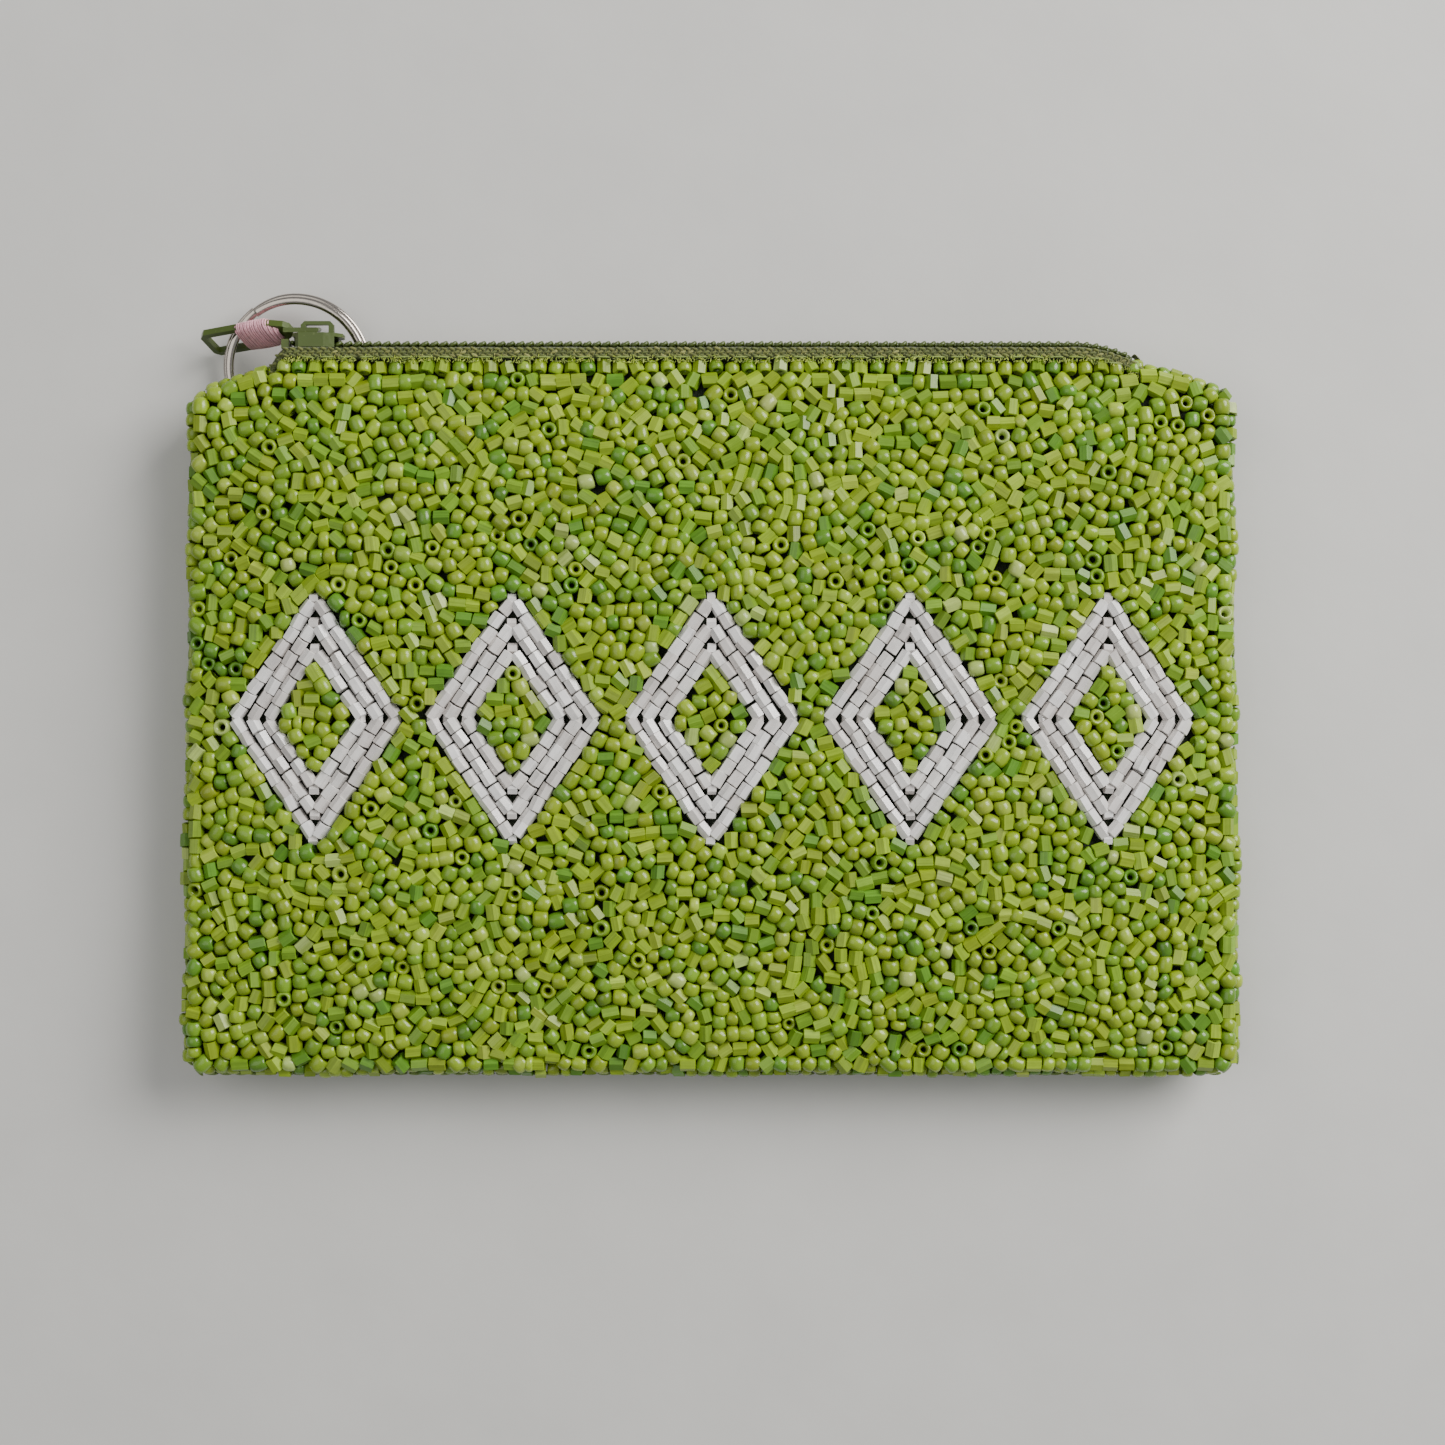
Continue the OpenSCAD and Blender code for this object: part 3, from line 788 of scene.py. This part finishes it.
# ---- Zip tapes ----
# Two strips of woven olive tape. Each is sewn to its panel's turned-in edge, stands up above it
# and folds over to carry its half of the coil. The weave is coarse enough to see.
TAPE_COLOUR = (0.07, 0.09, 0.014, 1.0)
# Tones of the tape's threads; the last, pale one is a painted highlight on a few raised threads.
TAPE_THREAD_TONES_AND_HIGHLIGHT = np.array([
    (0.135, 0.155, 0.026), (0.105, 0.13, 0.022), (0.175, 0.185, 0.04), (0.29, 0.30, 0.08)])
TAPE_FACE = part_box("front_zip_tape")[1].z / MM - THICK / 2
TAPE_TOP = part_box("front_zip_tape")[1].y / MM
TAPE_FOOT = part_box("front_zip_tape")[0].y / MM
TAPE_END = MOUTH_HALF + 2.6
DIP = 2.4
DIP_FROM = 48.0
TAPE_T = 0.25
WARP_ROWS = (0.30, 0.74, 1.18)
WEFT_ROWS = (0.52, 0.96)
ZIP_PARTS = ((False, "back", "whole"), (True, "front", "left"), (True, "front", "right"))


def zip_dip(x):
    """The zip sinks a little towards its far end, where the tape turns down into the corner."""
    return -DIP * np.clip((x - DIP_FROM) / (MOUTH_HALF - DIP_FROM), 0, 1) ** 2


def zip_point(x, y, out, front):
    """A point on the zip: distance out from the middle plane, towards the front or the back."""
    tuck = np.clip((np.abs(x) - MOUTH_HALF + 0.8) / 3.4, 0, 1)
    out = out * (1 - 0.75 * tuck)
    z = THICK / 2 + out if front else THICK / 2 - out
    return np.stack(np.broadcast_arrays(x, y + zip_dip(x) - 5.0 * tuck ** 1.6, z), axis=-1)


def flat_ways(lean):
    """Directions in the plane of the zip, turned by these angles from the X axis."""
    return np.stack([np.cos(lean), np.sin(lean), np.zeros(len(lean))], 1)


def facing_out(front, count):
    """The outward direction of one face, once for each copy."""
    return np.tile((0.0, 0.0, 1.0 if front else -1.0), (count, 1))


def attach(piece, front, nodes_for):
    """Fixes a back piece to the back of the purse and bakes a front piece's placement into its mesh."""
    if front:
        half_blend(piece)
    else:
        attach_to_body(piece, "purse_back")
    if nodes_for:
        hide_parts(nodes_for)


tape_rng = np.random.default_rng(41)
tape_cloth = woven_material("zip_tape_weave", TAPE_COLOUR, 3400.0, 0.5, 0.62, 0.08, 0.2)
tape_thread = thread_material("zip_tape_thread", 0.5, 0.15)
tape_section = np.array([
    (TAPE_FOOT + 0.1, 0.85), (HALF_H - 0.4, 0.85), (HALF_H + 0.15, 1.0), (HALF_H + 0.22, 1.8),
    (HALF_H + 0.25, TAPE_FACE - 0.3), (HALF_H + 0.4, TAPE_FACE - 0.16), (TAPE_TOP - 0.35, TAPE_FACE - 0.16),
    (TAPE_TOP - 0.15, TAPE_FACE - 0.3), (TAPE_TOP - 0.15, 0.62)])
for front, face, part in ZIP_PARTS:
    x0 = 0.0 if part == "right" else -TAPE_END
    x1 = 0.0 if part == "left" else TAPE_END
    xs = np.linspace(x0, x1, round((x1 - x0) / 0.8))
    wave = 0.05 * np.sin(xs * 0.55) + 0.03 * np.sin(xs * 1.7 + 1.0)
    rows = [zip_point(xs, y + wave, out, front) for y, out in tape_section]
    count = len(xs)
    faces = [(k * count + i, k * count + i + 1, (k + 1) * count + i + 1, (k + 1) * count + i)
             for k in range(len(rows) - 1) for i in range(count - 1)]
    tape = mesh_object(f"{face}_zip_tape_{part}", np.concatenate(rows), faces)
    thicken(tape, TAPE_T)
    tape.data.materials.append(tape_cloth)
    attach(tape, front, face + "_zip_tape")
    centres, ways, sizes, radii = [], [], [], []
    for row, height in enumerate(WARP_ROWS):
        at = np.arange(-TAPE_END + 0.4 + 0.5 * (row % 2), TAPE_END - 0.2, 1.0)
        at = at[(at >= x0) & (at < x1)]
        at = at + tape_rng.normal(0, 0.05, len(at))
        up = HALF_H + 0.15 + height + tape_rng.normal(0, 0.025, len(at))
        centres.append(zip_point(at, up, TAPE_FACE - 0.02, front))
        lean = (0.32 if row % 2 else -0.32) + tape_rng.normal(0, 0.09, len(at))
        ways.append(flat_ways(lean))
        sizes.append(tape_rng.normal(0.46, 0.03, len(at)))
        radii.append(tape_rng.normal(0.195, 0.012, len(at)))
    for height in WEFT_ROWS:
        at = np.arange(-TAPE_END + 0.5, TAPE_END - 0.2, 0.5) + 0.12 * (height > 0.6)
        at = at[(at >= x0) & (at < x1)]
        up = np.full(len(at), HALF_H + 0.15 + height)
        centres.append(zip_point(at, up, TAPE_FACE - 0.05, front))
        lean = np.pi / 2 + tape_rng.normal(0, 0.12, len(at))
        ways.append(flat_ways(lean))
        sizes.append(np.full(len(at), 0.3))
        radii.append(np.full(len(at), 0.12))
    centres, ways = np.concatenate(centres), np.concatenate(ways)
    n = len(centres)
    # One thread in twenty takes the pale tone as a painted highlight.
    tints = TAPE_THREAD_TONES_AND_HIGHLIGHT[tape_rng.choice(4, n, p=(0.4, 0.35, 0.2, 0.05))]
    knots = many(f"{face}_tape_weave_{part}", LUMP, centres, ways, facing_out(front, n),
                 np.concatenate(sizes), np.concatenate(radii),
                 tints * tape_rng.normal(1, 0.08, (n, 1)), tape_rng, True)
    knots.data.materials.append(tape_thread)
    attach(knots, front, None)


# ---- Cut edge of the ground cloth ----
# The raw chartreuse edge of the turned-in cloth peeps out between the first bead row and the
# tape, a little frayed.
FRAY_TINTS = np.array([(0.36, 0.46, 0.02), (0.27, 0.38, 0.02), (0.50, 0.60, 0.08), (0.20, 0.27, 0.03)])
FRAY = ring_template([(-1.0, 0.15), (-0.5, 0.9), (0.5, 0.9), (1.0, 0.15)], 5)
fray_rng = np.random.default_rng(51)
fray_thread = thread_material("cloth_edge_thread", 0.55, 0.2)
for front, face, part in ZIP_PARTS:
    x0 = 0.0 if part == "right" else -MOUTH_HALF
    x1 = 0.0 if part == "left" else MOUTH_HALF
    n = round((x1 - x0) * 11)
    at = fray_rng.uniform(x0, x1, n)
    up = HALF_H + fray_rng.uniform(-0.45, 0.42, n) + 0.06 * np.sin(at * 0.8)
    lean = np.where(fray_rng.random(n) < 0.5, 0.4, np.pi / 2) + fray_rng.normal(0, 0.35, n)
    edge = many(f"{face}_cloth_edge_{part}", FRAY,
                zip_point(at, up, TAPE_FACE + fray_rng.uniform(-0.1, 0.14, n), front),
                flat_ways(lean), facing_out(front, n),
                fray_rng.uniform(0.16, 0.34, n), fray_rng.uniform(0.06, 0.10, n),
                FRAY_TINTS[fray_rng.choice(4, n)], fray_rng, True)
    edge.data.materials.append(fray_thread)
    attach(edge, front, None)


# ---- Stitches along the tapes ----
# A row of short machine stitches in green thread, through tape and cloth, just above the beads.
STITCH_PITCH = 2.6
STITCH_Y = (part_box("front_zip_stitches")[0].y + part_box("front_zip_stitches")[1].y) / 2 / MM
STITCH_COLOUR = np.array([0.24, 0.33, 0.06])
stitch_rng = np.random.default_rng(61)
for front, face, part in ZIP_PARTS:
    first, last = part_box(face + "_zip_stitches")
    at = np.arange(first.x / MM + 1.0, last.x / MM, STITCH_PITCH)
    if part != "whole":
        at = at[(at < 0) == (part == "left")]
    n = len(at)
    lean = stitch_rng.normal(0, 0.05, n)
    sewing = many(f"{face}_stitches_{part}", LUMP, zip_point(at, STITCH_Y, TAPE_FACE + 0.06, front),
                  flat_ways(lean), facing_out(front, n), np.full(n, 1.0), np.full(n, 0.13),
                  STITCH_COLOUR * stitch_rng.normal(1, 0.07, (n, 1)), stitch_rng, True)
    sewing.data.materials.append(sewing_thread)
    attach(sewing, front, face + "_zip_stitches")


# ---- Zip coils ----
# Dark olive nylon wire wound into a flattened spiral on each tape. The loops of the two halves
# mesh along the middle, 1.27 mm apart.
COIL_PITCH = 1.27
WIRE_R = 0.27
COIL_COLOUR = (0.060, 0.088, 0.013, 1.0)
coil_low, coil_high = (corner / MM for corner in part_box("front_zip_coil"))
COIL_Y = (coil_low.y + coil_high.y) / 2
PARTED_TO = -53.2


def tube(name, path, radii, sides, smooth=True, uv_per_mm=1.0):
    """A round tube along a path in millimetres, capped at both ends."""
    path = np.asarray(path, float)
    n = len(path)
    way = np.gradient(path, axis=0)
    way /= np.linalg.norm(way, axis=1)[:, None]
    side = np.zeros_like(path)
    start = np.cross(way[0], (0.31, 0.73, 0.61))
    side[0] = start / np.linalg.norm(start)
    for k in range(1, n):
        moved = side[k - 1] - way[k] * (side[k - 1] @ way[k])
        side[k] = moved / np.linalg.norm(moved)
    other = np.cross(way, side)
    turn = np.arange(sides) * 2 * np.pi / sides
    radii = np.broadcast_to(radii, (n,))
    points = (path[:, None, :] + (side[:, None, :] * np.cos(turn)[None, :, None]
              + other[:, None, :] * np.sin(turn)[None, :, None]) * radii[:, None, None]).reshape(-1, 3)
    k, i = np.meshgrid(np.arange(n - 1), np.arange(sides), indexing="ij")
    j = (i + 1) % sides
    faces = np.stack([k * sides + i, k * sides + j, (k + 1) * sides + j, (k + 1) * sides + i], -1)
    faces = [tuple(f) for f in faces.reshape(-1, 4).tolist()]
    faces.append(tuple(range(sides))[::-1])
    faces.append(tuple(range((n - 1) * sides, n * sides)))
    made = mesh_object(name, points, faces, smooth)
    length = np.concatenate([[0], np.cumsum(np.linalg.norm(np.diff(path, axis=0), axis=1))])
    layer = made.data.uv_layers.new(name="bead_map")
    u = np.stack([i, i + 1, i + 1, i], -1).reshape(-1) / sides
    v = (length * uv_per_mm)[np.stack([k, k, k + 1, k + 1], -1).reshape(-1)]
    uv = np.column_stack([u, v])
    layer.data.foreach_set("uv", np.concatenate([uv, np.zeros((2 * sides, 2))]).astype(np.float32).ravel())
    return made


def paint_points(piece, colour, rng, vary):
    """Colours a long thread, a little lighter and darker along its length."""
    n = len(piece.data.vertices)
    tint = piece.data.attributes.new("bead_colour", "FLOAT_COLOR", "POINT")
    tone = np.interp(np.arange(n) / 60, np.arange(n // 60 + 2), rng.normal(1, vary, n // 60 + 2))
    rgb = np.asarray(colour)[:3] * tone[:, None]
    tint.data.foreach_set("color", np.column_stack([rgb, np.ones(n)]).astype(np.float32).ravel())


def mottled_material(name, colour, scale, vary, rough, bump_mm):
    """A plain material with mottled colour and roughness; rough is (low, high). Also returns its
    shader and the mottling."""
    mat, nodes, links, shader = new_material(name)
    soft = use_group(nodes, mottle, Color=colour, Scale=scale, Vary=vary, Rough_Low=rough[0],
                     Rough_High=rough[1])
    links.new(soft.outputs["Color"], shader.inputs["Base Color"])
    links.new(soft.outputs["Roughness"], shader.inputs["Roughness"])
    add_bump(nodes, links, soft.outputs["Height"], shader, bump_mm)
    return mat, shader, soft


nylon, shader, _ = mottled_material("coil_nylon", COIL_COLOUR, 500.0, 0.35, (0.28, 0.5), 0.01)
shader.inputs["Coat Weight"].default_value = 0.15
for front, face, part in ZIP_PARTS:
    x0 = 0.0 if part == "right" else coil_low.x + 0.35
    x1 = 0.0 if part == "left" else coil_high.x - 0.3
    shift = 0.0 if front else 0.5
    turn = np.arange((x0 / COIL_PITCH + shift) * 2 * np.pi,
                     (x1 / COIL_PITCH + shift) * 2 * np.pi + 0.3, np.pi / 8)
    x = (turn / (2 * np.pi) - shift) * COIL_PITCH
    parted = 0.5 * np.clip((PARTED_TO - x) / 1.2, 0, 1)
    out = 0.60 + 0.62 * np.cos(turn) + parted
    path = zip_point(x + 0.16 * np.sin(2 * turn), COIL_Y + 0.28 * np.sin(turn), out, front)
    coil = tube(f"{face}_zip_coil_{part}", path, WIRE_R, 7)
    coil.data.materials.append(nylon)
    attach(coil, front, face + "_zip_coil")


# ---- Zip stops ----
# Moulded clamps on the first loop of each half, and a bar of thread sewn over both halves at
# the far end.
stop_nylon, _, _ = mottled_material("stop_nylon", COIL_COLOUR, 700.0, 0.3, (0.35, 0.55), 0.015)


def finish_node(name, material, bevel_mm):
    """Gives a rigid CAD node rounded edges and its material."""
    node = frame["nodes"][name]
    node.data.materials.clear()
    node.data.materials.append(material)
    bevel = node.modifiers.new("rounded", "BEVEL")
    bevel.width = bevel_mm * MM
    bevel.segments = 3
    bevel.limit_method = "ANGLE"
    bevel.angle_limit = np.radians(28)
    bevel.harden_normals = True
    return node


for name in ("back_top_stop", "front_top_stop"):
    finish_node(name, stop_nylon, 0.16)
stop_rng = np.random.default_rng(71)
stop_low, stop_high = (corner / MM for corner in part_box("bottom_stop"))
n = 7
bar_x = np.linspace(stop_low.x + 0.12, stop_high.x - 0.12, n)
bar = many("bottom_stop_thread", LUMP, zip_point(bar_x, stop_high.y + 0.02, 0.0, True),
           np.column_stack([stop_rng.normal(0, 0.05, n), stop_rng.normal(0, 0.03, n), np.ones(n)]),
           np.tile((0.0, 1.0, 0.0), (n, 1)), np.full(n, (stop_high.z - stop_low.z) / 2), np.full(n, 0.13),
           TAPE_THREAD_TONES_AND_HIGHLIGHT[0] * stop_rng.normal(1, 0.08, (n, 1)), stop_rng, True)
bar.data.materials.append(tape_thread)
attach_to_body(bar, "purse_back")
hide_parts("bottom_stop")


# ---- Slider ----
# Die-cast zip slider in satin olive lacquer: two plates and side flanges round the coil, and a
# bridge on top that holds the pull. It runs along the coil.
LACQUER_COLOUR = (0.060, 0.090, 0.014, 1.0)
WORN_COLOUR = (0.13, 0.17, 0.05, 1.0)
lacquer, shader, soft = mottled_material("olive_lacquer", LACQUER_COLOUR, 260.0, 0.22, (0.24, 0.42), 0.03)
nodes, links = lacquer.node_tree.nodes, lacquer.node_tree.links
chips = nodes.new("ShaderNodeTexNoise")
chips.inputs["Scale"].default_value = 2600.0
place = nodes.new("ShaderNodeTexCoord")
links.new(place.outputs["Object"], chips.inputs["Vector"])
worn = nodes.new("ShaderNodeMix")
worn.data_type = "RGBA"
chipped = maths(nodes, links, "GREATER_THAN", chips.outputs["Fac"], 0.70)
links.new(maths(nodes, links, "MULTIPLY", chipped, 0.5), worn.inputs["Factor"])
links.new(soft.outputs["Color"], worn.inputs["A"])
worn.inputs["B"].default_value = WORN_COLOUR
links.new(worn.outputs["Result"], shader.inputs["Base Color"])
shader.inputs["Coat Weight"].default_value = 0.12
shader.inputs["Coat Roughness"].default_value = 0.2
shader.inputs["Specular IOR Level"].default_value = 0.35
finish_node("zip_slider", lacquer, 0.2)


# ---- Zip pull ----
# One lacquered casting: an eye through the slider's bridge, then a slotted frame that hangs
# down beside the corner of the purse.
finish_node("zip_pull", lacquer, 0.14)


# ---- Pink thread wrapping ----
# Pale pink cotton thread lashed round the neck of the pull in two layers.
PINK = (0.98, 0.50, 0.58)
THREAD_R = 0.135
WRAP_FROM, WRAP_TO = 0.85, 6.55
LAYER_TURNS = (23, 20)
LAYER_RISE = (0.0, 0.16)
TURN_POINTS = 20
NECK_HALF = 2.15
FRAME_TURN = (64.0, -18.0, 6.8)
FRAME_FROM = (-4.1, 0.12, -0.3)
joints = {joint["name"]: joint for joint in frame["joints"]}
pull_at = Vector(joints["pull_turn"]["pos_m"]) / MM
frame_turn = Matrix.Rotation(np.radians(FRAME_TURN[2]), 3, "Z")
frame_turn = frame_turn @ Matrix.Rotation(np.radians(FRAME_TURN[1]), 3, "Y")
frame_turn = frame_turn @ Matrix.Rotation(np.radians(FRAME_TURN[0]), 3, "X")
wrap_rng = np.random.default_rng(81)
pink_cotton = thread_material("pink_cotton", 0.6, 0.35)
path = []
for layer, grow in enumerate(LAYER_RISE):
    turns = LAYER_TURNS[layer]
    ends = (WRAP_FROM, WRAP_TO) if layer == 0 else (WRAP_TO - 0.1, WRAP_FROM + 0.1)
    along = np.linspace(ends[0], ends[1], turns * TURN_POINTS)
    angle = np.linspace(0, turns * 2 * np.pi, turns * TURN_POINTS) + layer * 0.7
    wander = np.interp(np.arange(len(along)), np.arange(0, len(along) + 10, 10),
                       wrap_rng.normal(0, 0.07, len(along) // 10 + 1 + (len(along) % 10 > 0)))
    flat = 0.30 + np.clip(NECK_HALF * along / 2.4, 0.9, NECK_HALF)
    swell = grow + 0.1 * np.sin((along - WRAP_FROM) / (WRAP_TO - WRAP_FROM) * np.pi)
    c, s = np.cos(angle), np.sin(angle)
    across = (flat + swell) * np.sign(c) * np.abs(c) ** 0.75
    thick = (0.66 + swell) * np.sign(s) * np.abs(s) ** 0.8
    path.append(np.column_stack([-along - wander, across, thick]))
path = np.concatenate(path) @ np.array(frame_turn).T + np.array(pull_at) + FRAME_FROM
wrap = tube("pink_thread_wrap", path, THREAD_R, 6, uv_per_mm=1.1)
paint_points(wrap, PINK, wrap_rng, 0.09)
wrap.data.materials.append(pink_cotton)
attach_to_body(wrap, "pull")
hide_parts("pull_thread_wrap")


# ---- Split ring ----
# A 20 mm key ring: two turns of flattened nickel-plated steel wire that step over each other
# once. It hangs through the slot of the pull, half under the corner of the purse.
RING_R = 9.25
TURN_GAP = 0.34
TURN_STEP = 0.2
CROSS_OVER = 1.0
START_ANGLE = 2.2
RING_STEPS = 300
NICKEL_COLOUR = (0.50, 0.45, 0.40, 1.0)
eye = next(m for m in frame["record"]["mounts"] if m["name"] == "key_ring_eye")
ring_at = Vector(eye["pos_m"]) / MM
ring_up = Vector(eye["axis"]).normalized()
ring_x = Vector((1, 0, 0))
ring_y = ring_up.cross(ring_x)
turn = np.linspace(0, 4 * np.pi, RING_STEPS)
level = np.clip((turn - (2 * np.pi - CROSS_OVER / 2)) / CROSS_OVER, 0, 1)
level = level * level * (3 - 2 * level) * 2 - 1
section = [(-0.54, 0.10), (-0.38, 0.25), (0.0, 0.31), (0.38, 0.25), (0.54, 0.10),
           (0.54, -0.10), (0.38, -0.25), (0.0, -0.31), (-0.38, -0.25), (-0.54, -0.10)]
points = []
for k in range(RING_STEPS):
    spoke = ring_x * np.cos(turn[k] + START_ANGLE) + ring_y * np.sin(turn[k] + START_ANGLE)
    radius = RING_R - TURN_STEP * level[k]
    for wide, tall in section:
        points.append(ring_at + spoke * (radius + wide) + ring_up * (TURN_GAP * level[k] + tall))
m = len(section)
faces = [(k * m + i, k * m + (i + 1) % m, (k + 1) * m + (i + 1) % m, (k + 1) * m + i)
         for k in range(RING_STEPS - 1) for i in range(m)]
faces += [tuple(range(m))[::-1], tuple(range((RING_STEPS - 1) * m, RING_STEPS * m))]
ring = mesh_object("split_ring_wire", [tuple(p) for p in points], faces)
nickel, shader, _ = mottled_material("nickel_plate", NICKEL_COLOUR, 350.0, 0.12, (0.10, 0.24), 0.006)
shader.inputs["Metallic"].default_value = 1.0
ring.data.materials.append(nickel)
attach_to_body(ring, "key_ring")
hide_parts("split_ring")


# ---- Floor, lights and camera ----
# A plain pale table under a soft overhead light that is a little brighter on the right, seen
# from straight above.
FLOOR_COLOUR = (0.60, 0.59, 0.565, 1.0)
VIEW_HEIGHT = 0.3354
FLOOR_HALF = 900.0
FLOOR_LEVEL = -0.45
VIEW_ANGLE = 32.6
SKY_COLOUR = (0.93, 0.96, 1.0, 1.0)
SKY_STRENGTH = 0.34
corners = [(FLOOR_HALF * x, FLOOR_HALF * y, FLOOR_LEVEL) for x, y in ((-1, -1), (1, -1), (1, 1), (-1, 1))]
floor = mesh_object("floor", corners, [(0, 1, 2, 3)])
table, _, _ = mottled_material("pale_table", FLOOR_COLOUR, 60.0, 0.05, (0.55, 0.75), 0.05)
floor.data.materials.append(table)

world = bpy.data.worlds.new("studio")
bpy.context.scene.world = world
world.use_nodes = True
world.node_tree.nodes["Background"].inputs[0].default_value = SKY_COLOUR
world.node_tree.nodes["Background"].inputs[1].default_value = SKY_STRENGTH


def soft_light(name, at, size, watts, tint):
    """A square studio light that faces the purse."""
    lamp = bpy.data.lights.new(name, "AREA")
    lamp.size = size
    lamp.energy = watts
    lamp.color = tint
    made = bpy.data.objects.new(name, lamp)
    made.location = at
    made.rotation_euler = (-Vector(at)).to_track_quat("-Z", "Y").to_euler()
    bpy.context.scene.collection.objects.link(made)


soft_light("window_light", (0.52, 0.36, 0.46), 0.5, 9.6, (1.0, 0.99, 0.97))
soft_light("fill_light", (-0.5, 0.1, 0.9), 0.9, 3.2, (1.0, 0.98, 0.92))
camera = bpy.data.objects.new("camera", bpy.data.cameras.new("camera"))
camera.location = (0.00147, -0.00047, VIEW_HEIGHT)
camera.data.angle = np.radians(VIEW_ANGLE)
camera.data.clip_start = 0.01
camera.data.dof.use_dof = False
bpy.context.scene.collection.objects.link(camera)
bpy.context.scene.camera = camera
